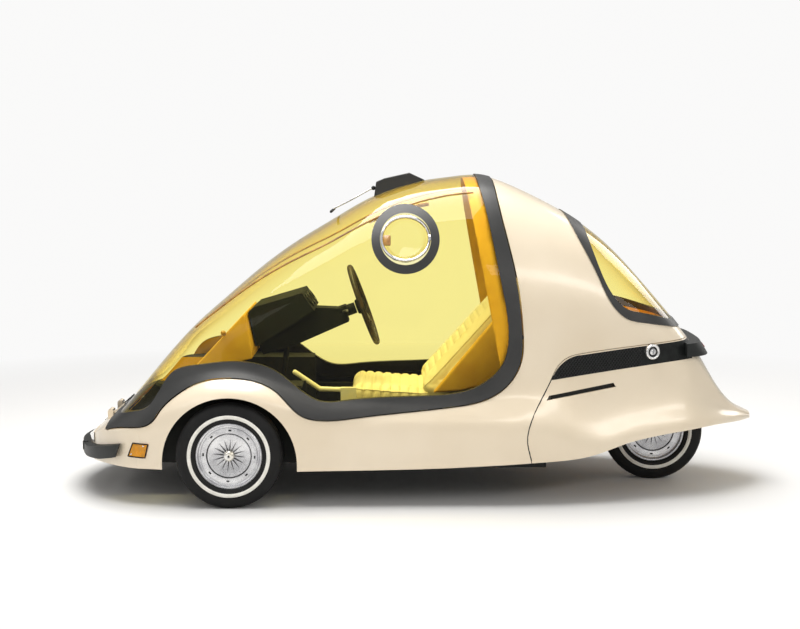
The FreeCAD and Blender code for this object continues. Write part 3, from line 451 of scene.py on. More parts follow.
def soft_box(low, high, radius, name, material, segments=3):
    """Box with rounded edges."""
    work = bmesh.new()
    bmesh.ops.create_cube(work, size=1.0)
    size = Vector(high) - Vector(low)
    middle = (Vector(high) + Vector(low)) / 2
    for vert in work.verts:
        vert.co = Vector([a * b for a, b in zip(vert.co, size)]) + middle
    bmesh.ops.bevel(work, geom=work.edges[:], offset=radius, segments=segments, affect="EDGES", profile=0.5)
    return sharpen(from_bmesh(work, name, material), 40)


def tree_with(name, inputs):
    """Geometry Nodes tree with its inputs: the geometry, those that are named, and a material."""
    group = bpy.data.node_groups.new(name, "GeometryNodeTree")
    for label, kind, value in [("Geometry", "Geometry", None), *inputs, ("Material", "Material", None)]:
        socket = group.interface.new_socket(label, in_out="INPUT", socket_type="NodeSocket" + kind)
        if value is not None:
            socket.default_value = value
    group.interface.new_socket("Geometry", in_out="OUTPUT", socket_type="NodeSocketGeometry")
    return group, group.nodes.new("NodeGroupInput").outputs


def finish_tree(group, given, geometry):
    """Ends a tree in real geometry with its material."""
    real = add_node(group, "GeometryNodeRealizeInstances", Geometry=geometry)
    painted = add_node(group, "GeometryNodeSetMaterial", Geometry=real.outputs[0],
                       Material=given["Material"])
    add_node(group, "NodeGroupOutput", Geometry=painted.outputs[0])
    return group


def turned_array_tree():
    """Copies of a piece turned about an axle, all round."""
    group, given = tree_with("turned_array", [
        ("Count", "Int", 8), ("Centre", "Vector", (0.0, 0.0, 0.0)), ("First Angle", "Float", 0.0)])
    line = add_node(group, "GeometryNodeMeshLine", Offset=(0.0, 0.0, 0.0), Count=given["Count"])
    index = add_node(group, "GeometryNodeInputIndex").outputs[0]
    share = math_node(group, "DIVIDE", index, given["Count"])
    angle = math_node(group, "ADD", math_node(group, "MULTIPLY", share, 2 * math.pi), given["First Angle"])
    turn = add_node(group, "ShaderNodeCombineXYZ", Y=angle)
    spin = add_node(group, "FunctionNodeEulerToRotation", Euler=turn.outputs[0])
    copies = add_node(group, "GeometryNodeInstanceOnPoints", Points=line.outputs[0],
                      Instance=given["Geometry"], Rotation=spin.outputs[0])
    moved = add_node(group, "GeometryNodeTransform", Geometry=copies.outputs[0], Translation=given["Centre"])
    return finish_tree(group, given, moved.outputs[0])


def tube_tree():
    """Round tube along the lines of a piece."""
    group, given = tree_with("tube_along_line", [("Radius", "Float", 0.004), ("Sides", "Int", 8)])
    curve = add_node(group, "GeometryNodeMeshToCurve", Mesh=given["Geometry"])
    ring = add_node(group, "GeometryNodeCurvePrimitiveCircle", Resolution=given["Sides"],
                    Radius=given["Radius"])
    swept = add_node(group, "GeometryNodeCurveToMesh", Fill_Caps=True, Curve=curve.outputs[0],
                     Profile_Curve=ring.outputs[0])
    smooth = add_node(group, "GeometryNodeSetShadeSmooth", Geometry=swept.outputs[0])
    return finish_tree(group, given, smooth.outputs[0])


def stitch_tree():
    """Short thread lengths set along a line."""
    group, given = tree_with("stitches_along_line", [
        ("Pitch", "Float", 0.007), ("Length", "Float", 0.0045), ("Thickness", "Float", 0.0006)])
    curve = add_node(group, "GeometryNodeMeshToCurve", Mesh=given["Geometry"])
    points = group.nodes.new("GeometryNodeCurveToPoints")
    points.mode = "LENGTH"
    feed(group, points, {"Curve": curve.outputs[0], "Length": given["Pitch"]})
    thread = add_node(group, "GeometryNodeMeshCylinder", Vertices=5, Radius=given["Thickness"],
                      Depth=given["Length"])
    copies = add_node(group, "GeometryNodeInstanceOnPoints", Points=points.outputs["Points"],
                      Instance=thread.outputs["Mesh"], Rotation=points.outputs["Rotation"])
    return finish_tree(group, given, copies.outputs[0])


def grown_from(source, group, values, name):
    """Plain mesh that a tree makes from a source piece, which is then gone."""
    modifier = source.modifiers.new(group.name, "NODES")
    modifier.node_group = group
    for item in group.interface.items_tree:
        if item.in_out == "INPUT" and item.name in values:
            modifier[item.identifier] = values[item.name]
    bpy.context.view_layer.update()
    mesh = applied(source).data
    bpy.data.objects.remove(source)
    return link(mesh, name)


turned_array = turned_array_tree()
tube_along = tube_tree()
stitches_along = stitch_tree()


def line_object(runs, name):
    """Edges through one or more runs of points, for the trees that follow lines."""
    verts = []
    edges = []
    for run in runs:
        start = len(verts)
        verts.extend([tuple(point) for point in run])
        edges.extend([(start + i, start + i + 1) for i in range(len(run) - 1)])
    mesh = bpy.data.meshes.new(name)
    mesh.from_pydata(verts, edges, [])
    return link(mesh, name)


def tube(runs, radius, name, material, body, sides=8):
    """Tube along runs of points that rides on a body."""
    values = {"Radius": radius, "Sides": sides, "Material": finishes[material]}
    piece = grown_from(line_object(runs, name + "_line"), tube_along, values, name)
    return wear(piece, body)


def joined(pieces, name):
    """One mesh from several, with their materials kept."""
    work = bmesh.new()
    materials = []
    for piece in pieces:
        offset = len(materials)
        materials.extend(piece.data.materials)
        start = len(work.faces)
        work.from_mesh(piece.data)
        work.faces.ensure_lookup_table()
        for face in work.faces[start:]:
            face.material_index += offset
    mesh = bpy.data.meshes.new(name)
    work.to_mesh(mesh)
    work.free()
    for material in materials:
        mesh.materials.append(material)
    for piece in pieces:
        bpy.data.objects.remove(piece)
    return link(mesh, name)


def search_tree(mesh):
    """Search tree over a mesh."""
    return BVHTree.FromPolygons([vert.co.copy() for vert in mesh.vertices],
                                [tuple(polygon.vertices) for polygon in mesh.polygons])


def tree_of(node_name):
    """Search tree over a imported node's surface."""
    return search_tree(nodes[node_name].data)


def first_hit(search, start, way):
    """First point of a surface along a line, or None."""
    return search.ray_cast(Vector(start), Vector(way))[0]


def surface_point(search, x, z, side=-1):
    """Outermost point of a surface at a place seen from the side."""
    return first_hit(search, (x, side * 2.0, z), (0, -side, 0))


def roof_point(search, x, y):
    """Topmost point of a surface at a place seen from above."""
    return first_hit(search, (x, y, 3.0), (0, 0, -1))


def end_point(search, y, z, ahead):
    """Outermost point of a surface at a place seen from the front or the back."""
    return first_hit(search, (ahead * 3.0, y, z), (-ahead, 0, 0))


def paint_nodes():
    """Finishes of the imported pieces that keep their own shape."""
    wanted = {
        "paint": ["body_shell", "engine_cover", "hinge_bases", "hinge_lugs"],
        "graphite": ["canopy_frame", "rear_window_frame", "roof_housing", "porthole_ring"],
        "bumper": ["front_bumper", "tail_bar"],
        "glass": ["canopy_glass", "rear_window"],
        "mesh": ["side_vents"],
        "amber": ["front_indicators"],
        "lens": ["headlamps"],
        "black": ["seat_base"],
        "tub": ["floor_tub"],
        "dash": ["instrument_binnacle", "steering_column"],
        "steel": ["front_subframe", "rack_housing", "swing_arm", "rear_frame", "pedals", "knuckle_left",
                  "knuckle_right", "wishbones_left", "wishbones_right"],
        "bare": ["track_rod", "rear_springs"],
        "engine": ["engine_block"],
        "tan": ["luggage_shelf"],
        "cream": ["hand_brake"],
        "chrome": ["fuel_cap"],
    }
    for material, names in wanted.items():
        for name in names:
            mesh = nodes[name].data
            mesh.materials.clear()
            mesh.materials.append(finishes[material])


# Wheels and tyres: sizes across the wheel and radii
ring_inner = 0.1625
ring_outer = 0.1765
rib_count = 16
mark_count = 8
tread_block_count = 54
tyre_bead = 0.1423
tread_groove = 0.0045
block_proud = 0.0012
block_root = 0.006
mark_inset = 0.0105
rib_stations = ((0.018, 0.0032, 0.013), (0.030, 0.0026, 0.011), (0.050, 0.0019, 0.008),
                (0.068, 0.0012, 0.0045), (0.084, 0.0006, 0.0014))

# Turned sections of the wheel, as (outwards from its outer side, radius), the lip's radius from the rim's
wheel_lip = [(-0.006, 0), (-0.001, 0.0005), (0.0015, -0.003), (0.0005, -0.008), (-0.005, -0.0105),
             (-0.012, -0.012), (-0.0145, -0.016), (-0.0145, -0.019), (-0.011, -0.0215)]
wheel_face = [(-0.010, 0.100), (-0.0105, 0.0975), (-0.015, 0.0965), (-0.015, 0.0935), (-0.0125, 0.0915),
              (-0.019, 0.060), (-0.022, 0.030), (-0.021, 0.0205)]
wheel_back = [(-0.030, 0.0205), (-0.030, 0.090)]
hub_cap = [(-0.030, 0.0), (-0.030, 0.0240), (-0.008, 0.0235), (-0.001, 0.0215), (0.0025, 0.0170),
           (0.0040, 0.011), (0.0025, 0.0060), (0.0025, 0.0)]
hub_eye = [(0.0015, 0.0), (0.0015, 0.0055), (0.0034, 0.0045), (0.0034, 0.0)]
# Dark ring laid on the floor of the face's groove: painted shade
groove_shade_ring = [(-0.0152, 0.0938), (-0.0146, 0.0938), (-0.0146, 0.0965), (-0.0152, 0.0965)]


def tyre_profile(radius, half, bead, outside):
    """Closed (across, radius) profile: bead, rounded wall with a raised ring, grooved tread."""
    wall = [(half - 0.0095, bead), (half - 0.006, bead + 0.0045), (half - 0.0025, bead + 0.0115),
            (half - 0.0012, ring_inner - 0.0010), (half + 0.0004, ring_inner + 0.0006),
            (half + 0.0008, (ring_inner + ring_outer) / 2), (half + 0.0004, ring_outer - 0.0006),
            (half - 0.0012, ring_outer + 0.0010), (half - 0.0014, ring_outer + 0.010),
            (half - 0.0034, radius - 0.030), (half - 0.0085, radius - 0.0165),
            (half - 0.0135, radius - 0.0085), (half - 0.0185, radius - 0.0040)]
    tread = []
    for centre in (0.030, 0.012):
        tread += [(centre + 0.0032, radius - 0.0006), (centre + 0.0026, radius - tread_groove),
                  (centre - 0.0026, radius - tread_groove), (centre - 0.0032, radius - 0.0004)]
    tread.append((0.0, radius))
    rising = wall + tread
    falling = [(-y, r) for y, r in reversed(rising[:-1])]
    inner = [(-(half - 0.016), bead + 0.010), (0.0, bead + 0.030), (half - 0.016, bead + 0.010)]
    return [(outside * y, r) for y, r in rising + falling + inner]


def tread_block(radius, half, side):
    """One shoulder block of the tread, standing out from the crown's edge."""
    rows = []
    for inset, top, wide in ((0.026, radius - 0.0012, 0.0045), (0.0125, radius - 0.010, 0.0040)):
        y = side * (half - inset)
        rows.append([(-wide, y, top + block_proud), (wide, y, top + block_proud),
                     (wide, y, top - block_root), (-wide, y, top - block_root)])
    return from_bmesh(loft(rows), "tread_block", "rubber", False)


def make_tyre(node_name, body, outside, both_rings):
    """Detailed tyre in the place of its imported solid."""
    low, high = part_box(node_name)
    centre = (low + high) / 2
    radius = (high.z - low.z) / 2
    half = (high.y - low.y) / 2
    profile = tyre_profile(radius, half, tyre_bead, outside)
    piece = lathe(profile, centre, node_name + "_carcass", "rubber", 128)
    piece.data.materials.append(finishes["white_ring"])
    for polygon in piece.data.polygons:
        place = polygon.center - centre
        span = math.hypot(place.x, place.z)
        shown = both_rings or place.y * outside > 0
        if shown and abs(place.y) > half - 0.003 and ring_inner - 0.0004 < span < ring_outer + 0.0004:
            polygon.material_index = 1
    parts = [sharpen(piece, 50)]
    for side in (-1, 1):
        values = {"Count": tread_block_count, "Centre": centre, "First Angle": 0.03 * side,
                  "Material": finishes["rubber"]}
        block = tread_block(radius, half, side)
        parts.append(grown_from(block, turned_array, values, node_name + "_blocks"))
    whole = joined(parts, node_name + "_tyre")
    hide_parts(node_name)
    return wear(whole, body)


def rib_piece(outside, deep):
    """One rib of the wheel's face: high and wide at the hub, fading to the rim."""
    base = outside * (deep - 0.001)
    rows = []
    for r, wide, tall in rib_stations:
        crest = outside * (deep + tall)
        rows.append([(-wide, base, r), (-wide * 0.35, crest, r), (wide * 0.35, crest, r), (wide, base, r)])
    return from_bmesh(loft(rows), "rib", "alloy")


def make_wheel(node_name, body, outside):
    """Pressed wheel with a rolled lip, a flat band, a ribbed face and a bright hub cap."""
    low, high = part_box(node_name)
    centre = (low + high) / 2
    half = (high.y - low.y) / 2
    radius = (high.z - low.z) / 2

    def turned(profile, label, material, segments=96):
        """Turned piece from (across, radius) places measured out from the wheel's outer side."""
        places = [(outside * (half + y), r) for y, r in profile]
        return lathe(places, centre, node_name + label, material, segments)

    lip = [(y, radius + r) for y, r in wheel_lip]
    back = list(wheel_back) + [(-0.035, radius - 0.007), (-2 * half, radius - 0.007), (-2 * half, radius)]
    disc = sharpen(turned(lip + wheel_face + back, "_disc", "alloy"), 45)
    cap = turned(hub_cap, "_cap", "brass", 48)
    eye = turned(hub_eye, "_eye", "steel", 24)
    # The dark ring in the face's groove is painted shade
    groove = turned(groove_shade_ring, "_groove", "steel")
    # The ribs take darker metal than the wheel: painted shade along them
    values = {"Count": rib_count, "Centre": centre, "First Angle": 0.1, "Material": finishes["rib"]}
    ribs = grown_from(rib_piece(outside, half - 0.021), turned_array, values, node_name + "_ribs")
    y = outside * (half - mark_inset)
    mark = soft_box((-0.0065, y - 0.0012, 0.1065), (0.0065, y + 0.0012, 0.1135), 0.0008, "mark", "steel", 1)
    values = {"Count": mark_count, "Centre": centre, "First Angle": 0.05, "Material": finishes["steel"]}
    marks = grown_from(mark, turned_array, values, node_name + "_marks")
    whole = joined([disc, cap, eye, ribs, marks, groove], node_name + "_wheel")
    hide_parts(node_name)
    return wear(whole, body)


def make_wheels():
    """All three wheels with their tyres."""
    for name, outside in (("front_left", -1), ("front_right", 1), ("rear", -1)):
        make_tyre("tyre_" + name, "wheel_" + name, outside, name == "rear")
        make_wheel("rim_" + name, "wheel_" + name, outside)


# Seat: how far the padding swells, its sewn channels and its piping
voxel_size = 0.0065
swell_limit = 0.012
pad_pressure = 4.0
sim_frames = 20
channel_pitch = 0.042
channel_depth = 0.009
channel_width = 0.011
channel_end = 0.045
piping_steps = 40
piping_radius = 0.0035
stitch_steps = 30
insert_share = 0.62
whole_width = 1.2
seat_shrink = 0.010
seat_corner = 0.034
back_swell = 0.045
back_drop = 0.050
back_slope = 42.0
cushion_reach = 0.045
cushion_tilt = 4.0


def pad_form(size, name):
    """Closed rounded form of a cushion, centred at the origin."""
    work = bmesh.new()
    bmesh.ops.create_cube(work, size=1.0)
    for vert in work.verts:
        vert.co = Vector([a * (b - 2 * seat_shrink) for a, b in zip(vert.co, size)])
    bmesh.ops.bevel(work, geom=work.edges[:], offset=seat_corner, segments=5, affect="EDGES", profile=0.5)
    return from_bmesh(work, name, "leather")


def swollen(piece):
    """Swells a form as padding does: remeshed, put under pressure, and held within a limit."""
    remesh = piece.modifiers.new("remesh", "REMESH")
    remesh.mode = "VOXEL"
    remesh.voxel_size = voxel_size
    applied(piece)
    before = [vert.co.copy() for vert in piece.data.vertices]
    cloth = piece.modifiers.new("cloth", "CLOTH")
    cloth.settings.use_pressure = True
    cloth.settings.uniform_pressure_force = pad_pressure
    cloth.settings.effector_weights.gravity = 0.0
    cloth.settings.quality = 4
    cloth.point_cache.frame_start = 1
    cloth.point_cache.frame_end = sim_frames
    for number in range(1, sim_frames + 1):
        bpy.context.scene.frame_set(number)
    applied(piece)
    bpy.context.scene.frame_set(1)
    for vert, start in zip(piece.data.vertices, before):
        move = vert.co - start
        if move.length > swell_limit:
            move.length = swell_limit
        vert.co = start + move
    return piece


def press_channels(piece, size, face_axis, along_axis, share):
    """Sinks sewn channels across the insert of the face that is sat on."""
    half_insert = size[1] * share / 2
    reach = size[along_axis] / 2 - channel_end
    floor = 0.35 if share < 1 else -0.3
    mesh = piece.data
    normals = [vert.normal.copy() for vert in mesh.vertices]
    for vert, normal in zip(mesh.vertices, normals):
        run = vert.co[along_axis]
        if normal[face_axis[0]] * face_axis[1] < floor or abs(run) >= reach:
            continue
        out = abs(vert.co[1]) - half_insert
        inside = 1.0 - min(1.0, max(0.0, out / 0.012))
        phase = (run / channel_pitch) % 1.0
        near = min(phase, 1.0 - phase) * channel_pitch
        groove = math.exp(-(near / (channel_width / 2)) ** 2)
        edge = math.exp(-(out / 0.006) ** 2)
        vert.co -= normal * channel_depth * (groove * inside + 0.7 * edge) * 0.9
    return piece


def piping_run(piece, size, face_axis, along_axis, side):
    """Line of the piping along one side edge of a pad's front face."""
    search = search_tree(piece.data)
    points = []
    for share in even(-0.5, 0.5, piping_steps):
        aim = Vector((0, 0, 0))
        aim[along_axis] = share * (size[along_axis] - 0.05)
        aim[face_axis[0]] = face_axis[1] * (size[face_axis[0]] / 2 - 0.012)
        aim[1] = side * (size[1] / 2 - 0.010)
        points.append(search.find_nearest(aim)[0])
    return points


def make_pad(node_name, name, size, face_axis, along_axis, place, share):
    """One cushion of the seat, with channels, piping and stitches, put in its place."""
    piece = swollen(pad_form(size, name))
    press_channels(piece, size, face_axis, along_axis, share)
    lines = [piping_run(piece, size, face_axis, along_axis, side) for side in (-1, 1)]
    finer = piece.modifiers.new("finer", "SUBSURF")
    finer.levels = 1
    finer.render_levels = 1
    mesh = shaded(applied(piece)).data
    mesh.materials.clear()
    mesh.materials.append(finishes["leather"])
    mesh.transform(place)
    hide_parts(node_name)
    wear(piece, "chassis")
    turned = [[place @ point for point in run] for run in lines]
    tube(turned, piping_radius, name + "_piping", "leather", "chassis")
    search = search_tree(mesh)
    seated = []
    for side in (-1, 1):
        run = []
        for reach in even(-0.5, 0.5, stitch_steps):
            spot = Vector((0, side * (size[1] * insert_share / 2 + 0.011), 0))
            spot[along_axis] = reach * (size[along_axis] - 0.10)
            spot[face_axis[0]] = face_axis[1] * size[face_axis[0]] / 2
            run.append(search.find_nearest(place @ spot)[0])
        seated.append(run)
    source = line_object(seated, name + "_stitch_line")
    stitches = grown_from(source, stitches_along, {"Material": finishes["thread"]}, name + "_stitches")
    wear(stitches, "chassis")


def make_seat():
    """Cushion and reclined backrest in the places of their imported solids."""
    low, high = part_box("seat_cushion")
    size = high - low
    middle = (high + low) / 2
    front = Vector((low.x, middle.y, middle.z))
    size.x += cushion_reach
    place = (Matrix.Translation(front) @ Matrix.Rotation(math.radians(cushion_tilt), 4, "Y")
             @ Matrix.Translation((size.x / 2, 0, 0)))
    make_pad("seat_cushion", "seat_cushion_pad", size, (2, 1), 0, place, whole_width)
    low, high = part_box("seat_back")
    middle = (high + low) / 2
    wide = high.y - low.y
    slope = math.radians(40.0)
    lean = math.radians(back_slope)
    thickness, length = solve_slab(high.x - low.x, high.z - low.z, slope)
    size = Vector((thickness + back_swell, wide, length + back_drop))
    shift = Vector((-back_swell / 2, 0, -back_drop / 2))
    place = Matrix.Translation(middle) @ Matrix.Rotation(lean, 4, "Y") @ Matrix.Translation(shift)
    make_pad("seat_back", "seat_back_pad", size, (0, -1), 2, place, insert_share)


def solve_slab(span_x, span_z, slope):
    """Thickness and length of a leaning slab with rounded ends from the box round it."""
    corner = 0.038
    lost = 2 * corner * (math.cos(slope) + math.sin(slope) - 1)
    x = span_x + lost
    z = span_z + lost
    c = math.cos(slope)
    s = math.sin(slope)
    length = (z * c - x * s) / (c * c - s * s)
    thickness = (x * c - z * s) / (c * c - s * s)
    return thickness, length


def side_panel(outline, inner, outer, radius, name, material):
    """Soft-edged panel over a side-view outline of (x, z) places, between two distances across."""
    work = loft([[(x, y, z) for x, z in outline] for y in (inner, outer)])
    bmesh.ops.recalc_face_normals(work, faces=work.faces)
    bmesh.ops.bevel(work, geom=work.edges[:], offset=radius, segments=3, affect="EDGES", profile=0.5)
    return sharpen(from_bmesh(work, name, material), 50)


# Tan side trim between the backrest and the rear hoop, and the cowl ahead of the binnacle
seat_trim_outline = [(0.070, 0.445), (0.390, 0.832), (0.425, 0.845), (0.447, 0.780), (0.452, 0.680),
                     (0.425, 0.560), (0.345, 0.490), (0.200, 0.455)]
seat_trim_inner = 0.256
seat_trim_outer = 0.300
cowl_outline = [(-0.772, 0.800), (-0.985, 0.572), (-0.960, 0.545), (-0.735, 0.600), (-0.735, 0.640),
                (-0.766, 0.785)]
cowl_half = 0.300
cowl_knob = (-0.862, 0.716)


def make_side_trim():
    """Trim panels at both sides of the seat, and the tan cowl ahead of the binnacle."""
    for side, label in ((-1, "left"), (1, "right")):
        panel = side_panel(seat_trim_outline, side * seat_trim_inner, side * seat_trim_outer, 0.012,
                           "seat_side_trim_" + label, "tan")
        wear(panel, "chassis")
    cowl = side_panel(cowl_outline, -cowl_half, cowl_half, 0.006, "cowl", "tan")
    knob = lathe([(-0.016, 0.0), (-0.014, 0.009), (-0.008, 0.012), (0.002, 0.010), (0.002, 0.0)],
                 (cowl_knob[0], -cowl_half, cowl_knob[1]), "cowl_knob", "seam", 24)
    wear(joined([cowl, knob], "dash_cowl"), "chassis")


# Rubber lip below the canopy's band: where it runs, where its height is looked for, its size
lip_from = -0.86
lip_to = 0.22
lip_steps = 54
lip_low = 0.28
lip_high = 0.62
lip_scan = 170
lip_inset = 0.004
lip_drop = 0.003
lip_radius = 0.0036

# Painted shadow of the gap between the body and the engine cover, drawn as a dark line: its heights, where
# it is looked for, its size
gap_shadow_low = 0.165
gap_shadow_high = 0.560
gap_shadow_steps = 34
gap_shadow_from = 0.46
gap_shadow_to = 0.72
gap_shadow_scan = 130
gap_shadow_radius = 0.0026

# Wire over the side vents, and the two ends of the slot in the engine cover
wire_margin = 0.2
wire_end = 0.985
wire_steps = 39
wire_lean = 0.75
wire_pitch = 0.0136
wire_proud = 0.0008
wire_radius = 0.0013
slot_ends = ((0.548, 0.456), (0.862, 0.520))
slot_steps = 12
slot_above = 0.045
slot_below = 0.035
slot_depth = 0.017


def make_vents():
    """Fine wire mesh over the front of each side vent."""
    search = tree_of("side_vents")
    low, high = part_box("side_vents")
    runs = []
    for side in (-1, 1):
        for lean in (-1, 1):
            offset = low.x - wire_margin
            while offset < wire_end + wire_margin:
                run = []
                for z in even(low.z, high.z, wire_steps):
                    x = offset + lean * (z - low.z) * wire_lean
                    spot = None if x > wire_end else surface_point(search, x, z, side)
                    if spot is not None:
                        run.append(spot + Vector((0, side * wire_proud, 0)))
                    elif run:
                        runs.append(run)
                        run = []
                runs.append(run)
                offset += wire_pitch
    runs = [run for run in runs if len(run) > 1]
    tube(runs, wire_radius, "vent_wires", "wire", "chassis", 3)


def make_slot_shade_sheets():
    """Black sheet behind each lower slot of the engine cover: painted shade in the slots."""
    search = tree_of("engine_cover")
    shade_sheets = []
    for side in (-1, 1):
        rows = []
        for x, z in zip(*[even(a, b, slot_steps) for a, b in zip(*slot_ends)]):
            above = surface_point(search, x, z + slot_above, side)
            below = surface_point(search, x, z - slot_below, side)
            if above is not None and below is not None:
                inset = Vector((0, -side * slot_depth, 0))
                rows.append([below + inset, above + inset])
        shade_sheets.append(from_sheet(loft(rows, False, False), "slot_shade_sheet", "black"))
    wear(thicken(joined(shade_sheets, "slot_shade_sheets"), 0.002), "chassis")


def make_cover_gap_shadows():
    """Dark line along the gap ahead of the engine cover on both sides: painted shadow of the gap."""
    cover = tree_of("engine_cover")
    shell = tree_of("body_shell")
    runs = []
    for side in (-1, 1):
        run = []
        for z in even(gap_shadow_low, gap_shadow_high, gap_shadow_steps):
            for x in even(gap_shadow_from, gap_shadow_to, gap_shadow_scan)[:-1]:
                ours = surface_point(cover, x, z, side)
                theirs = surface_point(shell, x, z, side)
                if ours is not None and (theirs is None or abs(ours.y) > abs(theirs.y) - 0.001):
                    run.append(ours + Vector((-0.001, -side * 0.0012, 0)))
                    break
        if len(run) > 1:
            runs.append(run)
    tube(runs, gap_shadow_radius, "cover_gap_shadows", "black", "chassis", 6)


def thicken(piece, thickness):
    """Gives an open sheet a wall and applies it."""
    wall = piece.modifiers.new("wall", "SOLIDIFY")
    wall.thickness = thickness
    wall.offset = 0.0
    return applied(piece)


def make_sill_seals():
    """Rubber lip just inside the gap below the canopy's band, along both sills."""
    search = tree_of("canopy_frame")
    runs = []
    for side in (-1, 1):
        run = []
        for x in even(lip_from, lip_to, lip_steps):
            heights = even(lip_low, lip_high, lip_scan)[:-1]
            found = (first_hit(search, (x, 0.0, z), (0, side, 0)) for z in heights)
            spot = next((place for place in found if place is not None), None)
            if spot is not None:
                run.append(spot + Vector((0, -side * lip_inset, -lip_drop)))
        runs.append(run)
    tube(runs, lip_radius, "sill_seals", "black", "chassis", 8)


# Seams on the canopy's shoulders and the rail inside it: where they run, their bow and their size
shoulder_from = -0.98
shoulder_to = 0.245
shoulder_steps = 60
shoulder_y = 0.34
shoulder_bow = 0.045
shoulder_radius = 0.0042
rail_from = -0.215
rail_length = 0.265
rail_y = -0.30
rail_drop = 0.050
rail_radius = 0.011

# Front edge of the rear hoop, as (x, z), and the lining ahead of it
hoop_low = Vector((0.389, 0, 0.716))
hoop_high = Vector((0.263, 0, 1.400))
lining_reach = 0.055
lining_foot = 0.60
lining_gap = 0.005
lining_wall = 0.003
canopy_axis = Vector((0.0, 0.0, 0.85))


def make_canopy_seams():
    """Moulded seam along each shoulder of the canopy, and the grab rail inside the left one."""
    search = tree_of("canopy_glass")
    runs = []
    for side in (-1, 1):
        run = []
        for t in even(0.0, 1.0, shoulder_steps):
            x = shoulder_from + (shoulder_to - shoulder_from) * t
            y = side * (shoulder_y + shoulder_bow * math.sin(math.pi * min(1.0, t * 1.1)))
            spot = roof_point(search, x, y)
            if spot is not None:
                run.append(spot + Vector((0, side * 0.001, 0.001)))
        runs.append(run)
    tube(runs, shoulder_radius, "canopy_seams", "seam", "canopy")
    rail = [roof_point(search, rail_from + rail_length * step / 24, rail_y) for step in range(25)]
    rail = [spot + Vector((0, 0, -rail_drop)) for spot in rail if spot is not None]
    tube([rail], rail_radius, "canopy_grab_rail", "seam", "canopy", 12)


def make_hoop_lining():
    """Tan lining inside the rear hoop of the canopy, ahead of the dark band."""
    work = bmesh.new()
    work.from_mesh(nodes["canopy_glass"].data)
    bmesh.ops.remove_doubles(work, verts=work.verts, dist=turned_weld)
    work.normal_update()

    def outwards(place):
        """Way out from the canopy's lengthwise axis at a place."""
        return Vector((0, place.y, place.z - canopy_axis.z))

    outer = [face for face in work.faces if face.normal.dot(outwards(face.calc_center_median())) > 0]
    bmesh.ops.delete(work, geom=outer, context="FACES")
    along = (hoop_high - hoop_low).normalized()
    ahead = Vector((-along.z, 0, along.x))
    for spot, way in ((hoop_low + ahead * lining_reach, ahead),
                      (Vector((0, 0, lining_foot)), Vector((0, 0, -1)))):
        geometry = work.verts[:] + work.edges[:] + work.faces[:]
        bmesh.ops.bisect_plane(work, geom=geometry, plane_co=spot, plane_no=way, clear_outer=True)
    for vert in work.verts:
        vert.co -= outwards(vert.co).normalized() * lining_gap
    piece = thicken(from_sheet(work, "hoop_lining", "tan"), lining_wall)
    wear(shaded(piece), "canopy")


# Turned sections of the porthole, as (inwards, distance in from the lid's edge), 0 for the middle
bezel_section = ((-0.008, 0.001), (-0.011, 0.004), (-0.010, 0.010), (-0.002, 0.013), (0.006, 0.012),
                 (0.006, 0.001))
bowl_section = ((-0.004, 0.012), (0.012, 0.018), (0.030, 0.032), (0.034, 0.040), (0.035, 0), (0.031, 0),
                (0.030, 0.042), (0.026, 0.034), (0.009, 0.022), (-0.007, 0.014))


def make_porthole():
    """Bright bezel, dished amber lid and its latch and hinge in the left side of the canopy."""
    low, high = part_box("porthole_lid")
    centre = (low + high) / 2
    radius = (high.x - low.x) / 2
    search = tree_of("porthole_ring")
    ring, foot = [surface_point(search, centre.x, centre.z + way * (radius + 0.015)) for way in (1, -1)]
    lean = math.atan2(ring.y - foot.y, ring.z - foot.z)
    turn = Matrix.Translation((ring + foot) / 2) @ Matrix.Rotation(-lean, 4, "X")
    bezel = lathe([(y, radius - r) for y, r in bezel_section], (0, 0, 0), "porthole_bezel", "chrome")
    places = [(y, radius - r if r else 0.0) for y, r in bowl_section]
    bowl = lathe(places, (0, 0, 0), "porthole_bowl", "glass")
    latch = soft_box((radius - 0.012, -0.016, -0.014), (radius + 0.012, -0.006, 0.014), 0.003,
                     "porthole_latch", "chrome", 2)
    strap = soft_box((-radius + 0.010, -0.002, -0.030), (-radius + 0.046, 0.010, 0.018), 0.004,
                     "porthole_hinge", "seam", 2)
    for piece, material in ((bezel, "bright_trim"), (latch, "bright_trim"), (strap, "amber_glazing"),
                            (bowl, "amber_glazing")):
        piece.data.transform(turn)
        wear(piece, "canopy")
    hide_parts("porthole_lid")


def column_frame():
    """Matrix whose Z runs up the steering column to the driver, at the wheel's centre."""
    joint = [j for j in frame["joints"] if j["name"] == "steering_turn"][0]
    axis = Vector(joint["axis"]).normalized()
    place = Vector(joint["pos_m"])
    side = Vector((0, 1, 0))
    up = axis.cross(side).normalized()
    turn = Matrix((side, up, axis)).transposed().to_4x4()
    return Matrix.Translation(place) @ turn


def ring_form(major, minor, name, material, around_count=96, section=14):
    """Ring about Z with a round section."""
    rows = []
    for i in range(around_count + 1):
        a = 2 * math.pi * i / around_count
        row = []
        for j in range(section):
            b = 2 * math.pi * j / section
            r = major + minor * math.cos(b)
            row.append((r * math.cos(a), r * math.sin(a), minor * math.sin(b)))
        rows.append(row)
    return from_bmesh(loft(rows, caps=False), name, material)


# Hub of the steering wheel as (along the column, radius), and its spokes as (reach, half width, height)
hub_section = [(-0.034, 0.0), (-0.034, 0.030), (-0.030, 0.034), (-0.006, 0.040), (0.004, 0.036),
               (0.009, 0.022), (0.010, 0.0)]
spoke_stations = ((0.030, 0.020, -0.014), (0.100, 0.015, -0.010), (0.182, 0.012, -0.001))


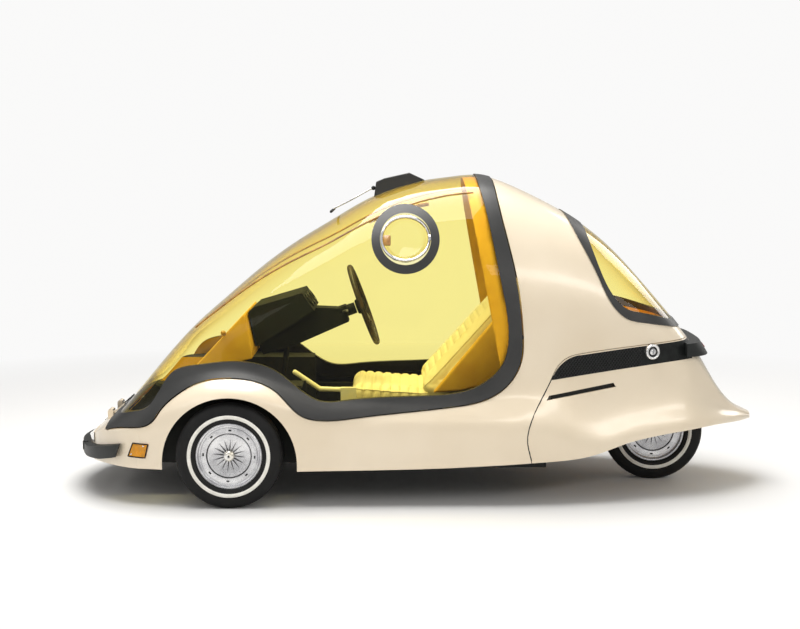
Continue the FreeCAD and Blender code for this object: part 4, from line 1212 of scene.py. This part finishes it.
def make_steering_wheel():
    """Rim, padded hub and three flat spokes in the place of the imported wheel."""
    hub = lathe(hub_section, (0, 0, 0), "hub", "dash", 48)
    hub.data.transform(Matrix.Rotation(math.radians(90), 4, "X"))
    pieces = [ring_form(0.184, 0.0125, "rim", "leather_dark"), hub]
    for angle in (90, 210, 330):
        direction = Vector((math.cos(math.radians(angle)), math.sin(math.radians(angle)), 0))
        side = Vector((-direction.y, direction.x, 0))
        rows = []
        for r, wide, z in spoke_stations:
            base = direction * r + Vector((0, 0, z))
            rise = Vector((0, 0, 0.003))
            rows.append([base - side * wide + rise, base + side * wide + rise,
                         base + side * wide - rise, base - side * wide - rise])
        pieces.append(sharpen(from_bmesh(loft(rows), "spoke", "bare")))
    whole = joined(pieces, "steering_wheel_trimmed")
    whole.data.transform(column_frame())
    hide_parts("steering_wheel")
    wear(whole, "steering_wheel")


# Places of a stalk on the column, the slanted face of the gauges, and their turned sections
stalk_places = ((0.040, 0.004, -0.100), (0.085, 0.010, -0.090), (0.135, 0.012, -0.070))
gauge_top = Vector((-0.519, 0, 0.883))
gauge_foot = Vector((-0.463, 0, 0.804))
gauge_places = (-0.105, 0.0, 0.105)
gauge_ring = [(0.0002, 0.034), (0.006, 0.034), (0.008, 0.031), (0.004, 0.029), (0.0002, 0.029)]
gauge_face = [(0.0, 0.0), (0.0005, 0.0), (0.0012, 0.029), (0.0, 0.029)]


def make_controls():
    """Switch housing and stalks on the column, gauges in the binnacle."""
    place = column_frame()
    housing = soft_box((-0.045, -0.022, -0.190), (0.045, 0.030, -0.075), 0.008, "switch_housing", "dash", 3)
    housing.data.transform(place)
    wear(housing, "chassis")
    stalks = [[place @ Vector((side * x, y, z)) for x, y, z in stalk_places] for side in (-1, 1)]
    tube(stalks, 0.005, "switch_stalks", "bare", "chassis", 10)
    way = (gauge_top - gauge_foot).normalized()
    out = Vector((way.z, 0, -way.x))
    middle = (gauge_top + gauge_foot) / 2
    turn = Matrix((Vector((0, 1, 0)), out, way)).transposed().to_4x4()
    dials = []
    for y in gauge_places:
        ring = lathe(gauge_ring, (0, 0, 0), "dial_ring", "steel", 40)
        face = lathe(gauge_face, (0, 0, 0), "dial_face", "black", 40)
        needle = soft_box((-0.0008, 0.002, -0.004), (0.0008, 0.003, 0.022), 0.0002, "needle", "amber", 1)
        needle.data.transform(Matrix.Rotation(math.radians(-40), 4, "Y"))
        for piece in (ring, face, needle):
            piece.data.transform(Matrix.Translation(middle + Vector((0, y, 0))) @ turn)
            dials.append(piece)
    wear(joined(dials, "gauges"), "chassis")


def make_wiper():
    """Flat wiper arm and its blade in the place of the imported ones."""
    low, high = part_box("wiper")
    root = Vector((high.x, 0, high.z - 0.006))
    tip = Vector((low.x + 0.007, 0, low.z + 0.012))
    knee = root.lerp(tip, 0.12) + Vector((0, 0, 0.006))
    values = {"Radius": 0.0040, "Sides": 6, "Material": finishes["bare"]}
    line = line_object([[root, knee, root.lerp(tip, 0.6), tip]], "arm_line")
    arm = grown_from(line, tube_along, values, "arm")
    blade = soft_box((tip.x - 0.005, low.y, tip.z - 0.010), (tip.x + 0.005, high.y, tip.z), 0.002,
                     "blade", "black", 2)
    boss = lathe([(-0.012, 0.0), (-0.012, 0.010), (0.012, 0.010), (0.012, 0.0)],
                 root + Vector((-0.008, 0, 0)), "boss", "steel", 24)
    whole = joined([arm, blade, boss], "wiper_arm_and_blade")
    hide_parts("wiper")
    wear(whole, "canopy")


# Corners of an indicator lens as (x, z), and its screws
lens_corners = [(x * 3.09, z * 1.42) for x, z in
                ((-0.4055, 0.148), (-0.3975, 0.192), (-0.3735, 0.192), (-0.3785, 0.148))]
screw_places = ((-1.2350, 0.222), (-1.1780, 0.262))
screw_section = [(-0.002, 0.0), (-0.002, 0.003), (0.002, 0.004), (0.002, 0.0)]


def make_lamp_details():
    """Dark frames and screws round the side indicators."""
    search = tree_of("front_indicators")
    middle = [sum(corner[axis] for corner in lens_corners) / 4 for axis in (0, 1)]
    runs = []
    screws = []
    for side in (-1, 1):
        run = []
        for here, there in zip(lens_corners, lens_corners[1:] + lens_corners[:1]):
            for step in range(8):
                x, z = [a + (b - a) * step / 8 for a, b in zip(here, there)]
                x, z = [place + (centre - place) * 0.05 for place, centre in zip((x, z), middle)]
                spot = surface_point(search, x, z, side)
                if spot is not None:
                    run.append(spot + Vector((0, side * 0.0005, 0)))
        runs.append(run + run[:1])
        for x, z in screw_places:
            spot = surface_point(search, x, z, side)
            if spot is not None:
                screws.append(lathe(screw_section, spot, "lens_screw", "chrome", 16))
    tube(runs, 0.0028, "indicator_gaskets", "black", "chassis", 6)
    wear(joined(screws, "indicator_screws"), "chassis")


# Rubber uprights on the bumper, and red lenses in the tail bar
overrider_y = 0.20
overrider_half = 0.011
overrider_height = 0.034
overrider_depth = 0.020
tail_lens_inner = 0.050
tail_lens_outer = 0.150
tail_lens_half = 0.012


def make_end_details():
    """Two rubber uprights on the front bumper, and a red lens on each side of the tail bar."""
    search = tree_of("front_bumper")
    low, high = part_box("front_bumper")
    uprights = []
    for side in (-1, 1):
        y = side * overrider_y
        spot = end_point(search, y, low.z + 0.020, -1)
        start = (spot.x - 0.004, y - overrider_half, spot.z - 0.010)
        end = (spot.x + overrider_depth, y + overrider_half, spot.z + overrider_height)
        uprights.append(soft_box(start, end, 0.005, "upright", "bumper", 3))
    wear(joined(uprights, "bumper_uprights"), "chassis")
    search = tree_of("tail_bar")
    low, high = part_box("tail_bar")
    foot, top = [(low.z + high.z) / 2 + way * tail_lens_half for way in (-1, 1)]
    lenses = []
    for side in (-1, 1):
        rows = []
        for reach in even(tail_lens_inner, tail_lens_outer, 8):
            y = side * reach
            below, above = [end_point(search, y, z, 1) for z in (foot, top)]
            if below is not None and above is not None:
                rows.append([(below.x - 0.002, y, foot), (below.x + 0.004, y, foot + 0.002),
                             (above.x + 0.004, y, top - 0.002), (above.x - 0.002, y, top)])
        lenses.append(sharpen(from_bmesh(loft(rows), "tail_lens", "red"), 40))
    wear(joined(lenses, "tail_lenses"), "chassis")


def make_fuel_cap():
    """Turned filler cap with a recessed centre in the left vent panel."""
    low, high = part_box("fuel_cap")
    centre = Vector(((low.x + high.x) / 2, low.y + 0.006, (low.z + high.z) / 2))
    radius = (high.x - low.x) / 2
    profile = [(0.020, 0.0), (0.020, radius), (-0.003, radius), (-0.007, radius - 0.004),
               (-0.006, radius - 0.010), (0.000, radius - 0.012), (0.001, radius * 0.45),
               (-0.005, radius * 0.40), (-0.006, 0.0)]
    # Black ring on the floor of the cap's recess: painted shade
    recess = [(0.0012, radius * 0.44), (-0.0026, radius * 0.44), (-0.0026, radius * 0.66),
              (0.0012, radius * 0.66)]
    reach = radius * 0.36
    parts = [lathe(profile, (0, 0, 0), "filler_cap", "chrome", 64),
             lathe(recess, (0, 0, 0), "cap_recess_shade", "black", 48),
             soft_box((-0.004, -0.010, -reach), (0.004, -0.002, reach), 0.002, "cap_bar", "bare", 2)]
    whole = joined(parts, "filler_cap_with_bar")
    whole.data.transform(Matrix.Translation(centre) @ Matrix.Rotation(math.radians(20), 4, "Z"))
    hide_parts("fuel_cap")
    wear(whole, "chassis")


# Backdrop: half width and the radius of its bend
sweep_reach = 30.0
sweep_bend = 7.0

# Surround: its colour, its level as a light and as seen by the camera. Lamps: name, place, what they look
# at, size, power and colour
surround_colour = (1.0, 0.995, 0.985, 1)
surround_levels = (0.56, 0.96)
lamps = (
    ("overhead", (-0.6, 0.2, 5.0), (0, 0, 0.5), (5.0, 3.5), 420.0, (1.0, 0.99, 0.97)),
    ("left_key", (-4.0, -5.5, 3.2), (0, 0, 0.5), (3.5, 3.0), 45.0, (1.0, 0.98, 0.95)),
    ("flare_strip", (3.4, -4.1, 2.9), (0.8, -0.5, 0.4), (6.0, 0.6), 50.0, (1.0, 0.99, 0.97)),
    ("rear_fill", (4.0, 3.5, 3.0), (0, 0, 0.6), (3.0, 2.5), 60.0, (1.0, 0.98, 0.95)),
)


def make_stage():
    """Seamless pale floor and backdrop."""
    profile = [(-14.0, 0.0), (6.0, 0.0)]
    for step in range(1, 13):
        angle = math.pi / 2 * step / 12
        profile.append((6.0 + sweep_bend * math.sin(angle), sweep_bend - sweep_bend * math.cos(angle)))
    profile.append((13.0, 24.0))
    rows = [[(x, y, z - 0.0005) for x in (-sweep_reach, sweep_reach)] for y, z in profile]
    work = loft(rows, False, False)
    piece = shaded(from_sheet(work, "studio_sweep"))
    material, tree, shader = shader_tree("studio_floor")
    feed(tree, shader, {"Base Color": floor_white, "Roughness": 0.85, "Specular IOR Level": 0.1})
    glow = add_node(tree, "ShaderNodeEmission", Color=backdrop_white, Strength=1.0)
    reach_out = vector_node(tree, "LENGTH", object_coords(tree), None, "Value")
    far = ramp_value(tree, reach_out, fade_start, fade_end)
    seen = math_node(tree, "MULTIPLY", far, add_node(tree, "ShaderNodeLightPath").outputs["Is Camera Ray"])
    blend_shaders(tree, seen, shader, glow)
    piece.data.materials.append(material)


def area_light(name, place, aim, size, power, colour):
    """Soft lamp that looks at a point."""
    data = bpy.data.lights.new(name, "AREA")
    data.shape = "RECTANGLE"
    data.size = size[0]
    data.size_y = size[1]
    data.energy = power
    data.color = colour
    lamp = bpy.data.objects.new(name, data)
    bpy.context.scene.collection.objects.link(lamp)
    lamp.location = place
    lamp.rotation_euler = (Vector(aim) - Vector(place)).to_track_quat("-Z", "Y").to_euler()


def make_lights():
    """Plain white surround and soft overhead light."""
    world = bpy.data.worlds.new("studio")
    bpy.context.scene.world = world
    world.use_nodes = True
    tree = world.node_tree
    seen = add_node(tree, "ShaderNodeLightPath").outputs["Is Camera Ray"]
    level = ramp_value(tree, seen, 0.0, 1.0, *surround_levels)
    feed(tree, tree.nodes["Background"], {"Color": surround_colour, "Strength": level})
    for lamp in lamps:
        area_light(*lamp)


def make_camera():
    """Camera at the photograph's viewing angle."""
    data = bpy.data.cameras.new("camera")
    data.sensor_fit = "HORIZONTAL"
    data.sensor_width = sensor_width
    data.lens = focal_pixels / photo_width * sensor_width
    camera = bpy.data.objects.new("camera", data)
    bpy.context.scene.collection.objects.link(camera)
    camera.location = camera_place
    camera.rotation_euler = (math.radians(90.0 - camera_pitch), 0.0, 0.0)
    bpy.context.scene.camera = camera


paint_nodes()
make_wheels()
make_seat()
make_side_trim()
make_vents()
make_slot_shade_sheets()
make_cover_gap_shadows()
make_sill_seals()
make_canopy_seams()
make_hoop_lining()
make_porthole()
make_steering_wheel()
make_controls()
make_wiper()
make_lamp_details()
make_fuel_cap()
make_end_details()
make_stage()
make_lights()
make_camera()
bpy.context.scene.view_settings.view_transform = "Standard"
